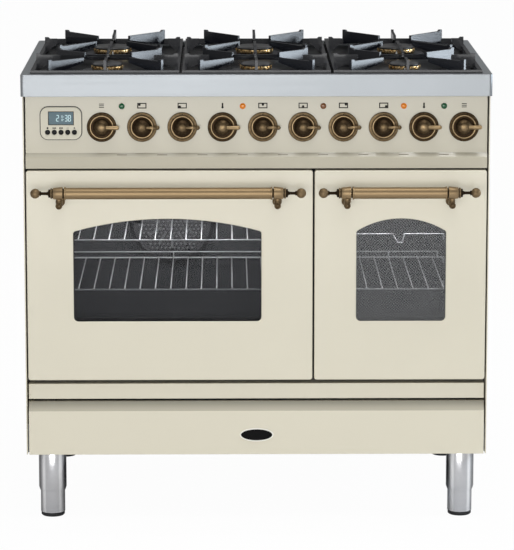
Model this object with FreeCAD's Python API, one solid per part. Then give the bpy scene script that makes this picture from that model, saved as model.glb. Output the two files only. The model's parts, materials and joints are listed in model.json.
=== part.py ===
import FreeCAD, Part
import math
import os

# Range cooker with two ovens, a gas hob of six burners and a storage drawer.
# Millimetres. +Z is up and the front faces -Y. The origin is on the floor, under the
# middle of the whole cooker. Every place follows from the sizes below.

V = FreeCAD.Vector
RIGHT = V(1, 0, 0)
BACK = V(0, 1, 0)
UP = V(0, 0, 1)

# Worktop and body
worktop_width = 900.0
worktop_depth = 600.0
band_height = 42.0
band_corner = 6.0
band_proud = 6.0
rim_width = 17.0
well_depth = 10.0
plate_thickness = 1.5
skirt_thickness = 1.5
body_inset = 3.0
side_thickness = 2.0
rear_overhang = 24.0
edge_gap = 3.0
sheet = 2.0
sheet_gap = 0.3

# Heights, from the floor up
leg_height = 131.0
drawer_front_height = 104.0
drawer_gap = 5.0
rail_height = 30.0
door_foot_gap = 9.0
door_height = 410.5
panel_gap = 4.0
panel_height = 139.5

# Control panel section
panel_setback = 8.0
panel_strip_height = 29.5
panel_step_slope = 7.0
panel_lip_drop = 2.5
panel_lean = 1.5

# Doors
right_door_width = 330.5
door_split_gap = 3.5
door_corner = 5.0
door_edge_round = 2.0
tray_depth = 18.0
liner_reach = 24.0
liner_corner = 7.0
glass_thickness = 4.0
glass_margin = 14.0
window_left_width = 362.0
window_right_width = 172.8
window_left_offset = -4.6
window_right_offset = 1.5
window_sill = 115.8
window_side_height = 176.0
window_rise = 25.0
window_corner = 9.0
window_shoulder_round = 6.0
window_bevel = 1.2

# Door hinges
pivot_depth = 16.0
pivot_rise = 14.0
hinge_inset = 30.0
hinge_plate = 4.0
hinge_eye = 7.0
hinge_pin_radius = 4.0
hinge_pin_reach = 8.0
hinge_block = 10.0
pin_clearance = 0.06
swing_clearance = 0.6

# Door handles
handle_drop = 36.0
handle_reach = 50.0
handle_bar_radius = 11.0
handle_left_span = 415.6
handle_right_span = 200.0
handle_left_offset = -1.5
handle_right_offset = -4.75
handle_bar_start = 13.0
hub_radius = 12.5
hub_outer_radius = 10.5
hub_half_length = 8.0
collar_neck_radius = 9.5
finial_flange_radius = 8.0
finial_flange_place = 20.0
finial_neck_radius = 2.8
ball_radius = 9.5
ball_place = 45.0
hub_groove_width = 1.5
hub_cone_length = 4.0
arm_radius = 6.0
post_radius = 6.5
post_drop = 23.5
post_front = 8.0
post_foot_radius = 9.0
post_foot_thickness = 4.0

# Oven cavities
cavity_side_margin = 45.0
cavity_floor_rise = 41.0
cavity_top_drop = 39.5
seal_width = 8.0
seal_thickness = 6.0
seal_margin = 3.0
rack_wire = 3.0
rack_pitch = 30.0
rack_fence_height = 15.0
rack_front_gap = 22.0
rack_back_gap = 48.0
rail_first_level = 73.0
rail_pitch = 49.0
rail_levels = 5
rail_wire = 4.0
rack_slide_gap = 0.5
left_rack_levels = (1, 3)
right_rack_levels = (1,)

# Oven fan and elements
fan_rise = 196.0
fan_offset = -3.0
fan_cover_radius = 88.0
fan_cover_depth = 32.0
fan_slots = 12
fan_slot_width = 5.0
fan_slot_inner = 25.0
fan_slot_outer = 76.0
fan_disc_radius = 60.0
fan_blade_depth = 14.0
fan_blade_inner = 32.0
fan_blades = 10
fan_shaft_radius = 4.0
fan_shaft_hole = 6.0
fan_gap = 8.0
motor_radius = 34.0
motor_length = 46.0
motor_back_gap = 48.0
element_radius = 3.5
element_drop = 14.0
element_side_gap = 50.0
element_front_gap = 60.0
element_bend = 30.0

# Controls
knob_count = 10
knob_height = 79.5
knob_end_inset = 44.7
clock_knob_gap = 38.6
flange_radius = 28.5
flange_edge = 1.6
flange_slope = 3.2
ring_radius = 20.5
ring_height = 9.0
dome_radius = 16.5
dome_height = 17.0
dome_top_radius = 8.0
peg_reach = 34.0
peg_radius_oven = 4.2
peg_radius_gas = 3.1
peg_tip_radius = 4.4
peg_tip_length = 9.0
peg_tip_slope = 2.0
peg_tip_chamfer = 1.0
knob_gap = 0.5
spindle_radius = 4.0
spindle_depth = 26.0
spindle_hole = 4.8
tap_front_gap = 8.0
tap_width = 24.0
tap_length = 30.0
tap_drop = 14.0
tap_top = 39.0
switch_width = 40.0
switch_height = 44.0
switch_length = 34.0
manifold_section = 18.0
manifold_lift = 0.0
manifold_overrun = 30.0
feed_radius = 4.0
feed_gap = 6.0
feed_step = 16.0
supply_radius = 7.0
supply_inset = 20.0
inlet_radius = 10.5
inlet_length = 20.0

# Clock and pilot lights
clock_width = 78.0
clock_height = 62.0
clock_corner = 14.5
clock_inset = 68.2
clock_rise = 7.6
bezel_proud = 4.0
clock_body_margin = 5.0
clock_body_depth = 16.0
display_width = 46.7
display_height = 24.0
display_rise = 9.8
display_recess = 1.2
display_thickness = 3.0
button_count = 5
button_pitch = 12.8
button_radius = 4.6
button_drop = 17.2
button_proud = 1.5
button_depth = 7.0
button_travel_room = 2.0
button_clearance = 0.3
pilot_radius = 5.8
pilot_body_radius = 4.8
pilot_proud = 2.8
pilot_depth = 9.0
pilot_rise = 40.0
pilots_after = (
    "knob_left_oven_function",
    "knob_left_oven_heat",
    "knob_gas_front_middle",
    "knob_gas_front_right",
    "knob_right_oven_heat",
)

# Hob
grate_gap = 5.5
grate_side_gap = 1.5
grate_end_gap = 3.0
grate_rail_width = 8.0
grate_rail_height = 10.0
grate_foot_height = 6.0
grate_foot_size = 11.0
fin_thickness = 5.5
fin_height = 22.0
nub_height = 25.0
nub_length = 7.0
fin_tip_height = 9.0
front_burner_place = 122.0
rear_burner_place = 149.0
front_diagonal_inner = 45.0
rear_diagonal_outer = 102.0
rear_diagonal_inner_x = 32.0
rear_diagonal_inner_y = 51.0
centre_fin_inner = 40.0
front_side_fin = 47.0
rear_side_fin = 25.0
small_burner_radius = 29.5
large_burner_radius = 37.0
ring_proud = 1.5
ring_thickness = 9.0
ring_foot_inset = 3.0
cap_thickness = 6.0
cap_chamfer = 3.0
cup_rim = 18.0
cup_lip = 3.0
cup_bowl_inset = 2.0
cup_bowl_depth = 34.0
cup_throat_radius = 13.0
cup_hole_clearance = 0.5
flame_slots = 12
flame_slot_width = 3.0
flame_slot_height = 4.0
flame_slot_depth = 6.0
electrode_radius = 2.4
electrode_height = 10.0
injector_size = 20.0

# Legs
leg_inset_side = 47.5
leg_inset_front = 45.0
sleeve_radius = 27.0
sleeve_length = 73.0
sleeve_taper = 7.0
sleeve_wall = 2.9
foot_clearance = 0.3
foot_pad_height = 8.0
foot_pad_inset = 0.8
foot_pad_chamfer = 2.0
sleeve_top = 4.0

# Drawer
drawer_slope_drop = 17.5
drawer_slope_depth = 10.0
drawer_front_depth = 18.0
drawer_side_inset = 27.0
drawer_box_depth = 452.0
drawer_box_lift = 8.0
drawer_box_drop = 13.0
drawer_wall = 1.5
glide_width = 8.0
glide_height = 8.0
glide_rise = 37.0
glide_inset = 12.0
runner_wall = 2.7
runner_gap = 0.3
runner_overlap = 7.0
runner_length = 480.0
base_front_gap = 4.0

# Back panel
back_slots = 8
back_slot_width = 60.0
back_slot_height = 6.0
back_slot_pitch = 82.0
back_slot_drop = 130.0

# Places that follow from the sizes
hub_reach = handle_reach + hub_radius
overall_depth = worktop_depth - band_proud + hub_reach
face = hub_reach - overall_depth / 2
body_half = worktop_width / 2 - body_inset
inner_half = body_half - side_thickness
front_half = inner_half - edge_gap
base_z = leg_height
drawer_top = base_z + drawer_front_height
rail_z = drawer_top + drawer_gap
door_z = rail_z + rail_height + door_foot_gap
door_top = door_z + door_height
panel_z = door_top + panel_gap
panel_top = panel_z + panel_height
rim_z = panel_top + band_height
plate_top = rim_z - well_depth
plate_z = plate_top - plate_thickness
liner_back = face + tray_depth + liner_reach
frame_y = liner_back + seal_thickness
cavity_y = frame_y + sheet
back_y = face - band_proud + worktop_depth - rear_overhang
back_front = back_y - side_thickness - sheet
cavity_depth = back_front - motor_back_gap - motor_length - sheet - cavity_y
worktop_front = face - band_proud
worktop_back = worktop_front + worktop_depth
worktop_middle = (worktop_front + worktop_back) / 2
well_half = worktop_width / 2 - rim_width
main_y = face + panel_setback
pivot_y = face + pivot_depth
pivot_z = door_z + pivot_rise
frame_top = panel_z + 3 * sheet

right_door = (front_half - right_door_width, front_half)
left_door = (-front_half, right_door[0] - door_split_gap)
cavity_z = (door_z + cavity_floor_rise, door_top - cavity_top_drop)
left_cavity = (left_door[0] + cavity_side_margin, left_door[1] - cavity_side_margin)
right_cavity = (right_door[0] + cavity_side_margin, right_door[1] - cavity_side_margin)

clock_x = -front_half + clock_inset
knob_z = panel_z + knob_height
clock_z = knob_z + clock_rise
pilot_z = knob_z + pilot_rise
first_knob = clock_x + clock_width / 2 + clock_knob_gap
last_knob = front_half - knob_end_inset
knob_pitch = (last_knob - first_knob) / (knob_count - 1)
knob_x = [first_knob + knob_pitch * i for i in range(knob_count)]
knob_names = (
    "knob_left_oven_function",
    "knob_gas_rear_left",
    "knob_gas_front_left",
    "knob_left_oven_heat",
    "knob_gas_rear_middle",
    "knob_gas_front_middle",
    "knob_gas_rear_right",
    "knob_gas_front_right",
    "knob_right_oven_heat",
    "knob_right_oven_function",
)
gas_knobs = [i for i, name in enumerate(knob_names) if "gas" in name]
oven_knobs = [i for i, name in enumerate(knob_names) if "oven" in name]

grate_width = (2 * well_half - 2 * grate_side_gap - 2 * grate_gap) / 3
grate_pitch = grate_width + grate_gap
grate_half_y = worktop_depth / 2 - rim_width - grate_end_gap
grate_x = [-grate_pitch, 0.0, grate_pitch]
front_burner_y = worktop_front + rim_width + front_burner_place
rear_burner_y = worktop_back - rim_width - rear_burner_place
rail_bottom = plate_top + grate_foot_height
cup_top = plate_top + cup_lip
ring_top = cup_top + ring_thickness
tap_y = main_y + sheet + tap_front_gap
tap_back = tap_y + tap_length
manifold_z = knob_z + manifold_lift
rear_feed_z = manifold_z + manifold_section / 2 + feed_gap
front_feed_z = rear_feed_z + feed_step


def block(x, y, z):
    return Part.makeBox(x[1] - x[0], y[1] - y[0], z[1] - z[0], V(x[0], y[0], z[0]))


def rod(radius, start, end):
    along = end.sub(start)
    return Part.makeCylinder(radius, along.Length, start, along)


def turned(profile, centre, axis):
    # profile holds (place along the axis, radius) corners
    across = UP if abs(axis.z) < 0.5 else RIGHT
    corners = [centre + axis * along + across * radius for along, radius in profile]
    return Part.Face(Part.makePolygon(corners + corners[:1])).revolve(centre, axis, 360)


def section(points, x):
    # a closed outline of (y, z) corners, run along X
    corners = [V(x[0], y, z) for y, z in points]
    return Part.Face(Part.makePolygon(corners + corners[:1])).extrude(RIGHT * (x[1] - x[0]))


def fused(shapes):
    return shapes[0].multiFuse(shapes[1:]).removeSplitter()


def edges_along(shape, axis):
    found = []
    for edge in shape.Edges:
        direction = edge.Vertexes[-1].Point.sub(edge.Vertexes[0].Point)
        if direction.Length > 0 and direction.cross(axis).Length < 1e-6 * direction.Length:
            found.append(edge)
    return found


def rounded_slab(x, y, z, radius):
    slab = block(x, y, z)
    return slab.makeFillet(radius, edges_along(slab, BACK))


def window_shape(x, y):
    # flat sill, straight sides and an arched head with eased shoulders
    low = door_z + window_sill
    shoulder = low + window_side_height
    crown = shoulder + window_rise
    left, right = x
    radius = window_corner
    cut = radius * (1 - math.sqrt(0.5))
    start = V(left + radius, y[0], low)
    sill_end = V(right - radius, y[0], low)
    right_low = V(right, y[0], low + radius)
    right_top = V(right, y[0], shoulder)
    left_top = V(left, y[0], shoulder)
    left_low = V(left, y[0], low + radius)
    edges = [
        Part.LineSegment(start, sill_end),
        Part.Arc(sill_end, V(right - cut, y[0], low + cut), right_low),
        Part.LineSegment(right_low, right_top),
        Part.Arc(right_top, V((left + right) / 2, y[0], crown), left_top),
        Part.LineSegment(left_top, left_low),
        Part.Arc(left_low, V(left + cut, y[0], low + cut), start),
    ]
    wire = Part.Wire([edge.toShape() for edge in edges])
    shape = Part.Face(wire).extrude(BACK * (y[1] - y[0]))
    shoulders = [edge for edge in edges_along(shape, BACK) if abs(edge.Vertexes[0].Z - shoulder) < 1e-6]
    return shape.makeFillet(window_shoulder_round, shoulders)


# Worktop and hob plate
def worktop_frame():
    half = worktop_width / 2
    y = (worktop_front, worktop_back)
    outer = block((-half, half), y, (panel_top, rim_z))
    outer = outer.makeFillet(band_corner, edges_along(outer, UP))
    wall = skirt_thickness
    inner_y = (y[0] + wall, y[1] - wall)
    hollow = block((-half + wall, half - wall), inner_y, (panel_top - 1, rim_z - wall))
    hollow = hollow.makeFillet(band_corner - wall, edges_along(hollow, UP))
    well_y = (y[0] + rim_width, y[1] - rim_width)
    well = block((-well_half, well_half), well_y, (panel_top, rim_z + 1))
    lip_half = well_half + wall
    lip = block((-lip_half, lip_half), (well_y[0] - wall, well_y[1] + wall), (plate_top, rim_z))
    hem_y = (inner_y[0] - wall / 2, main_y - sheet_gap)
    hem = block((-front_half, front_half), hem_y, (panel_top, panel_top + wall))
    return fused([outer.cut(hollow), lip, hem]).cut(well)


def burner_places():
    # (x, y, radius of the cap, height of the feed tube, knob that feeds it)
    places = []
    rear_names = ("knob_gas_rear_left", "knob_gas_rear_middle", "knob_gas_rear_right")
    front_names = ("knob_gas_front_left", "knob_gas_front_middle", "knob_gas_front_right")
    for x, rear, front in zip(grate_x, rear_names, front_names):
        places.append((x, rear_burner_y, large_burner_radius, rear_feed_z, knob_names.index(rear)))
        places.append((x, front_burner_y, small_burner_radius, front_feed_z, knob_names.index(front)))
    return places


def hob_plate():
    reach = skirt_thickness + sheet_gap
    half = worktop_width / 2 - reach
    y = (worktop_front + reach, worktop_back - reach)
    plate = block((-half, half), y, (plate_z, plate_top))
    plate = plate.makeFillet(band_corner - skirt_thickness, edges_along(plate, UP))
    for x, y, radius, feed_z, knob in burner_places():
        hole = radius + cup_bowl_inset + cup_hole_clearance
        plate = plate.cut(Part.makeCylinder(hole, 4 * plate_thickness, V(x, y, plate_z - plate_thickness)))
    return plate


# Burners
def injector_block(x, y, feed_z):
    half = injector_size / 2
    top = plate_top - cup_bowl_depth
    return block((x - half, x + half), (y - half, y + half), (feed_z - half, top))


def burner_cups():
    cups = []
    for x, y, radius, feed_z, knob in burner_places():
        bowl = radius + cup_bowl_inset
        throat_z = plate_top - cup_bowl_depth
        profile = [
            (cup_top, 0),
            (cup_top, radius + cup_rim),
            (plate_top, radius + cup_rim + cup_lip),
            (plate_top, bowl),
            (throat_z, cup_throat_radius),
            (throat_z, 0),
        ]
        bowl_shape = turned(profile, V(x, y, 0), UP)
        spark_y = y - radius - ring_proud - 3 * electrode_radius
        electrode = rod(electrode_radius, V(x, spark_y, cup_top - 1), V(x, spark_y, cup_top + electrode_height))
        cups.append(fused([bowl_shape, injector_block(x, y, feed_z), electrode]))
    return Part.makeCompound(cups)


def flame_rings():
    rings = []
    for x, y, radius, feed_z, knob in burner_places():
        outer = radius + ring_proud
        profile = [
            (cup_top, 0),
            (cup_top, outer - ring_foot_inset),
            (cup_top + ring_foot_inset, outer),
            (ring_top, outer),
            (ring_top, 0),
        ]
        ring = turned(profile, V(x, y, 0), UP)
        slot = block(
            (outer - flame_slot_depth, outer + 1),
            (-flame_slot_width / 2, flame_slot_width / 2),
            (ring_top - flame_slot_height, ring_top + 1),
        )
        cuts = []
        for i in range(flame_slots):
            notch = slot.copy()
            notch.rotate(V(0, 0, 0), UP, (i + 0.5) * 360 / flame_slots)
            notch.translate(V(x, y, 0))
            cuts.append(notch)
        rings.append(ring.cut(Part.makeCompound(cuts)))
    return Part.makeCompound(rings)


def burner_caps():
    caps = []
    for x, y, radius, feed_z, knob in burner_places():
        profile = [
            (ring_top, 0),
            (ring_top, radius),
            (ring_top + cap_thickness - cap_chamfer, radius),
            (ring_top + cap_thickness, radius - cap_chamfer - 1),
            (ring_top + cap_thickness, 0),
        ]
        caps.append(turned(profile, V(x, y, 0), UP))
    return Part.makeCompound(caps)


# Pan supports: a low frame with a cross bar and tall tapered fingers round each burner
def finger(outer, inner, low):
    # outer and inner are (x, y); low is the length that stays at rail height
    length = math.hypot(inner[0] - outer[0], inner[1] - outer[1])
    top = rim_z + fin_height
    nub = rim_z + nub_height
    rail_top = rail_bottom + grate_rail_height
    points = [(0, rail_bottom), (low + nub_length, rail_bottom), (length, top - fin_tip_height)]
    points += [(length, top), (low + nub_length + nub_height - fin_height, top)]
    points += [(low + nub_length, nub), (low, nub)]
    if low > 0:
        points += [(low, rail_top), (0, rail_top)]
    corners = [V(s, -fin_thickness / 2, z) for s, z in points]
    plate = Part.Face(Part.makePolygon(corners + corners[:1])).extrude(BACK * fin_thickness)
    angle = math.degrees(math.atan2(inner[1] - outer[1], inner[0] - outer[0]))
    plate.rotate(V(0, 0, 0), UP, angle)
    plate.translate(V(outer[0], outer[1], 0))
    return plate


def pan_support(x):
    half_x = grate_width / 2
    half_y = grate_half_y
    wide = grate_rail_width
    rail = (rail_bottom, rail_bottom + grate_rail_height)
    y = (worktop_middle - half_y, worktop_middle + half_y)
    cross = (front_burner_y + rear_burner_y) / 2
    inner_x = half_x - wide / 2
    outer = block((x - half_x, x + half_x), y, rail)
    opening = block((x - half_x + wide, x + half_x - wide), (y[0] + wide, y[1] - wide), (rail[0] - 1, rail[1] + 1))
    bar = block((x - half_x, x + half_x), (cross - wide / 2, cross + wide / 2), rail)
    pieces = [outer.cut(opening), bar]
    foot = grate_foot_size
    for side in (-1, 1):
        foot_x = sorted((x + side * half_x, x + side * (half_x - foot)))
        pieces.append(block(foot_x, (y[0], y[0] + foot), (plate_top, rail[0])))
        pieces.append(block(foot_x, (y[1] - foot, y[1]), (plate_top, rail[0])))
    front_rail = y[0] + wide / 2
    rear_rail = y[1] - wide / 2
    for side in (-1, 1):
        # front burner
        near = front_burner_y - front_rail
        tip = front_diagonal_inner
        pieces.append(
            finger((x + side * near, front_rail), (x + side * tip, front_burner_y - tip), wide)
        )
        far = min(cross - front_burner_y, inner_x)
        low = (far - rear_diagonal_outer) * math.sqrt(2)
        pieces.append(
            finger((x + side * far, front_burner_y + far), (x + side * tip, front_burner_y + tip), max(low, wide))
        )
        side_tip = x + side * (inner_x - front_side_fin)
        pieces.append(finger((x + side * inner_x, front_burner_y), (side_tip, front_burner_y), 0))
        # rear burner
        tip_x = x + side * rear_diagonal_inner_x
        root_x = x + side * rear_diagonal_outer
        pieces.append(finger((root_x, cross), (tip_x, rear_burner_y - rear_diagonal_inner_y), 0))
        pieces.append(finger((root_x, rear_rail), (tip_x, rear_burner_y + rear_diagonal_inner_y), 0))
        side_tip = x + side * (inner_x - rear_side_fin)
        pieces.append(finger((x + side * inner_x, rear_burner_y), (side_tip, rear_burner_y), 0))
    pieces.append(finger((x, front_rail), (x, front_burner_y - centre_fin_inner), 0))
    pieces.append(finger((x, cross), (x, front_burner_y + centre_fin_inner), 0))
    rear_tip = large_burner_radius + (centre_fin_inner - small_burner_radius)
    pieces.append(finger((x, cross), (x, rear_burner_y - rear_tip), 0))
    pieces.append(finger((x, rear_rail), (x, rear_burner_y + rear_tip), 0))
    return fused(pieces)


# Casing
def side_panel(side):
    outer = sorted((side * body_half, side * inner_half))
    lip = sorted((side * inner_half, side * (inner_half - 6 * side_thickness)))
    wall = block(outer, (face + sheet, back_y), (base_z, plate_z))
    rear_lip = block(lip, (back_y - side_thickness, back_y), (base_z, plate_z))
    return fused([wall, rear_lip])


def back_panel():
    half = inner_half
    rear = (back_front, back_front + sheet)
    panel = block((-half, half), rear, (base_z, plate_z))
    middle = (back_slots - 1) / 2
    slot_z = plate_z - back_slot_drop
    cuts = []
    for i in range(back_slots):
        x = (i - middle) * back_slot_pitch
        slot_x = (x - back_slot_width / 2, x + back_slot_width / 2)
        cuts.append(block(slot_x, (rear[0] - 1, rear[1] + 1), (slot_z, slot_z + back_slot_height)))
    hole = rod(supply_radius + sheet_gap, V(supply_x(), rear[0] - 1, manifold_z), V(supply_x(), rear[1] + 1, manifold_z))
    return panel.cut(Part.makeCompound(cuts + [hole]))


def leg_centres():
    front = face + leg_inset_front
    rear = back_y - leg_inset_front
    x = body_half - leg_inset_side
    return [V(-x, front, 0), V(x, front, 0), V(-x, rear, 0), V(x, rear, 0)]


def base_frame():
    # bottom sheet with the two fixed drawer runners spot-welded to its upstands
    y = (face + drawer_front_depth + base_front_gap, back_front)
    pieces = [block((-inner_half, inner_half), y, (base_z, base_z + sheet))]
    glide_z = drawer_z() + glide_rise
    outer_glide = front_half - drawer_side_inset + glide_width
    inner_edge = outer_glide - runner_overlap
    run_y = (y[0], y[0] + runner_length)
    for side in (-1, 1):
        wall_x = sorted((side * inner_half, side * (inner_half - runner_wall)))
        ledge_x = sorted((side * inner_half, side * inner_edge))
        upstand_z = (base_z + sheet, glide_z + glide_height + runner_gap + runner_wall)
        pieces.append(block(wall_x, run_y, upstand_z))
        pieces.append(block(ledge_x, run_y, (glide_z - runner_wall, glide_z)))
        top = glide_z + glide_height + runner_gap
        pieces.append(block(ledge_x, run_y, (top, top + runner_wall)))
    return fused(pieces)


def front_frame():
    plate = block((-inner_half, inner_half), (frame_y, cavity_y), (rail_z, frame_top))
    for x in (left_cavity, right_cavity):
        plate = plate.cut(block(x, (frame_y - 1, cavity_y + 1), cavity_z))
    shelf_y = (cavity_y, back_front)
    shelf = block((-inner_half, inner_half), shelf_y, (frame_top - sheet, frame_top))
    return fused([plate, shelf])


def lower_rail():
    front = face + drawer_slope_depth
    z = (rail_z, rail_z + rail_height)
    body = block((-front_half, front_half), (front, frame_y), z)
    inside = block(
        (-front_half + sheet, front_half - sheet), (front + sheet, frame_y + 1), (z[0] + sheet, z[1] - sheet)
    )
    return body.cut(inside)


def control_panel():
    step = panel_z + panel_strip_height
    lip = step - panel_step_slope
    toe = face + panel_lean
    outer = [
        (frame_y, panel_z),
        (toe, panel_z),
        (face, lip - panel_lip_drop),
        (face + 1, lip),
        (main_y, step),
        (main_y, plate_z),
    ]
    inner = [
        (main_y + sheet, plate_z),
        (main_y + sheet, step - sheet / 2),
        (face + sheet + 1, lip - sheet / 2),
        (face + sheet, lip - panel_lip_drop),
        (toe + sheet, panel_z + sheet),
        (frame_y, panel_z + sheet),
    ]
    panel = section(outer + inner, (-front_half, front_half))
    cuts = []
    for x in knob_x:
        cuts.append(rod(spindle_hole, V(x, main_y - 1, knob_z), V(x, main_y + sheet + 1, knob_z)))
    for x in pilot_x():
        cuts.append(rod(pilot_body_radius + sheet_gap, V(x, main_y - 1, pilot_z), V(x, main_y + sheet + 1, pilot_z)))
    body_x, body_z = clock_body(sheet_gap)
    cuts.append(block(body_x, (main_y - 1, main_y + sheet + 1), body_z))
    return panel.cut(Part.makeCompound(cuts))


# Ovens
def oven_cavity(x):
    outer_x = (x[0] - sheet, x[1] + sheet)
    outer_z = (cavity_z[0] - sheet, cavity_z[1] + sheet)
    outer = block(outer_x, (cavity_y, cavity_y + cavity_depth + sheet), outer_z)
    inner = block(x, (cavity_y - 1, cavity_y + cavity_depth), cavity_z)
    return outer.cut(inner)


def fan_centre(y):
    x = (left_cavity[0] + left_cavity[1]) / 2 + fan_offset
    return V(x, y, cavity_z[0] + fan_rise)


def oven_cavity_left():
    rear = cavity_y + cavity_depth
    hole = rod(fan_shaft_hole, fan_centre(rear - 1), fan_centre(rear + sheet + 1))
    return oven_cavity(left_cavity).cut(hole)


def door_seals():
    loops = []
    y = (liner_back + sheet_gap, frame_y)
    for x in (left_cavity, right_cavity):
        inner_x = (x[0] - seal_margin, x[1] + seal_margin)
        inner_z = (cavity_z[0] - seal_margin, cavity_z[1] + seal_margin)
        outer_x = (inner_x[0] - seal_width, inner_x[1] + seal_width)
        outer_z = (inner_z[0] - seal_width, inner_z[1] + seal_width)
        band = rounded_slab(outer_x, y, outer_z, 2 * seal_width)
        loops.append(band.cut(block(inner_x, (y[0] - 1, y[1] + 1), inner_z)))
    return Part.makeCompound(loops)


def level_z(level):
    return cavity_z[0] + rail_first_level + level * rail_pitch


def rack_supports():
    ladders = []
    rear = cavity_y + cavity_depth
    for x in (left_cavity, right_cavity):
        for wall, inward in ((x[0], 1), (x[1], -1)):
            post_x = sorted((wall, wall + inward * rail_wire))
            rail_x = sorted((wall + inward * rail_wire, wall + inward * 2.5 * rail_wire))
            low = level_z(0) - 3 * rail_wire
            high = level_z(rail_levels - 1) + 3 * rail_wire
            pieces = []
            for y in (cavity_y + rack_front_gap, rear - rack_back_gap):
                pieces.append(block(post_x, (y, y + rail_wire), (low, high)))
            rail_y = (cavity_y + rack_front_gap - rail_wire, rear - rack_back_gap + 2 * rail_wire)
            for level in range(rail_levels):
                z = level_z(level)
                pieces.append(block(rail_x, rail_y, (z - rail_wire, z)))
            ladders.append(fused(pieces))
    return Part.makeCompound(ladders)


def oven_rack(x, level):
    inset = rail_wire + rack_slide_gap
    left = x[0] + inset
    right = x[1] - inset
    front = cavity_y + rack_front_gap
    rear = cavity_y + cavity_depth - rack_back_gap
    z = level_z(level)
    wire = (z, z + rack_wire)
    pieces = [
        block((left, right), (front, front + rack_wire), wire),
        block((left, right), (rear - rack_wire, rear), wire),
        block((left, left + rack_wire), (front, rear), wire),
        block((right - rack_wire, right), (front, rear), wire),
    ]
    count = int((right - left) / rack_pitch)
    start = (left + right - (count - 1) * rack_pitch) / 2
    for i in range(count):
        place = start + i * rack_pitch
        pieces.append(block((place - rack_wire / 2, place + rack_wire / 2), (front, rear), wire))
    fence = z + rack_fence_height
    pieces.append(block((left, right), (rear - rack_wire, rear), (fence - rack_wire, fence)))
    for place in (left, (left + right - rack_wire) / 2, right - rack_wire):
        pieces.append(block((place, place + rack_wire), (rear - rack_wire, rear), (z, fence)))
    return fused(pieces)


def oven_racks():
    racks = [oven_rack(left_cavity, level) for level in left_rack_levels]
    racks += [oven_rack(right_cavity, level) for level in right_rack_levels]
    return Part.makeCompound(racks)


def fan_cover():
    rear = cavity_y + cavity_depth
    front = rear - fan_cover_depth
    centre = fan_centre(0)
    profile = [
        (front, 0),
        (front, fan_cover_radius - 4 * sheet),
        (front + 4 * sheet, fan_cover_radius),
        (rear, fan_cover_radius),
        (rear, fan_cover_radius - sheet),
        (front + 4 * sheet + 1, fan_cover_radius - sheet),
        (front + sheet, fan_cover_radius - 4 * sheet - 1),
        (front + sheet, 0),
    ]
    cover = turned(profile, centre, BACK)
    slot = block(
        (fan_slot_inner, fan_slot_outer), (front - 1, front + sheet + 1), (-fan_slot_width / 2, fan_slot_width / 2)
    )
    cuts = []
    for i in range(fan_slots):
        cut = slot.copy()
        cut.rotate(V(0, 0, 0), BACK, i * 360 / fan_slots)
        cut.translate(centre)
        cuts.append(cut)
    return cover.cut(Part.makeCompound(cuts))


def fan_rotor():
    rear = cavity_y + cavity_depth
    disc_y = rear - fan_gap
    centre = fan_centre(0)
    disc = rod(fan_disc_radius, fan_centre(disc_y - sheet), fan_centre(disc_y))
    shaft = rod(fan_shaft_radius, fan_centre(disc_y - sheet), fan_centre(rear + sheet + motor_length / 2))
    blade = block(
        (fan_blade_inner, fan_disc_radius - 1),
        (disc_y - sheet - fan_blade_depth, disc_y - sheet),
        (-sheet / 2, sheet / 2),
    )
    pieces = [disc, shaft]
    for i in range(fan_blades):
        vane = blade.copy()
        vane.rotate(V(0, 0, 0), BACK, i * 360 / fan_blades)
        vane.translate(centre)
        pieces.append(vane)
    return fused(pieces)


def fan_motor():
    start = cavity_y + cavity_depth + sheet
    body = rod(motor_radius, fan_centre(start), fan_centre(start + motor_length))
    bore_end = fan_centre(start + motor_length / 2 + sheet)
    return body.cut(rod(fan_shaft_radius + pin_clearance, fan_centre(start - 1), bore_end))


def element_path(x):
    # a bar bent to a U under the roof, its two ends in the rear wall
    left = x[0] + element_side_gap
    right = x[1] - element_side_gap
    front = cavity_y + element_front_gap
    rear = cavity_y + cavity_depth
    z = cavity_z[1] - element_drop
    bend = element_bend
    cut = bend * (1 - math.sqrt(0.5))
    left_bend = V(left, front + bend, z)
    right_bend = V(right, front + bend, z)
    edges = [
        Part.LineSegment(V(left, rear, z), left_bend),
        Part.Arc(left_bend, V(left + cut, front + cut, z), V(left + bend, front, z)),
        Part.LineSegment(V(left + bend, front, z), V(right - bend, front, z)),
        Part.Arc(V(right - bend, front, z), V(right - cut, front + cut, z), right_bend),
        Part.LineSegment(right_bend, V(right, rear, z)),
    ]
    return Part.Wire([edge.toShape() for edge in edges])


def heating_elements():
    bars = []
    for x in (left_cavity, right_cavity):
        path = element_path(x)
        start = V(x[0] + element_side_gap, cavity_y + cavity_depth, cavity_z[1] - element_drop)
        ring = Part.Wire([Part.Circle(start, BACK, element_radius).toShape()])
        bars.append(path.makePipeShell([ring], True, False))
    return Part.makeCompound(bars)


# Doors
def window_x(door, width, offset):
    middle = (door[0] + door[1]) / 2 + offset
    return (middle - width / 2, middle + width / 2)


def hinge_x(door):
    # the middle of each hinge plate
    return (door[0] + hinge_inset, door[1] - hinge_inset)


def hinge_slots(door):
    # the way that the fixed hinge plate needs as the door turns round it
    cuts = []
    half = hinge_plate / 2 + swing_clearance
    eye = hinge_eye + swing_clearance
    for x in hinge_x(door):
        cuts.append(block((x - half, x + half), (pivot_y - eye, frame_y), (door_z - 1, pivot_z + eye)))
    return Part.makeCompound(cuts)


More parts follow.
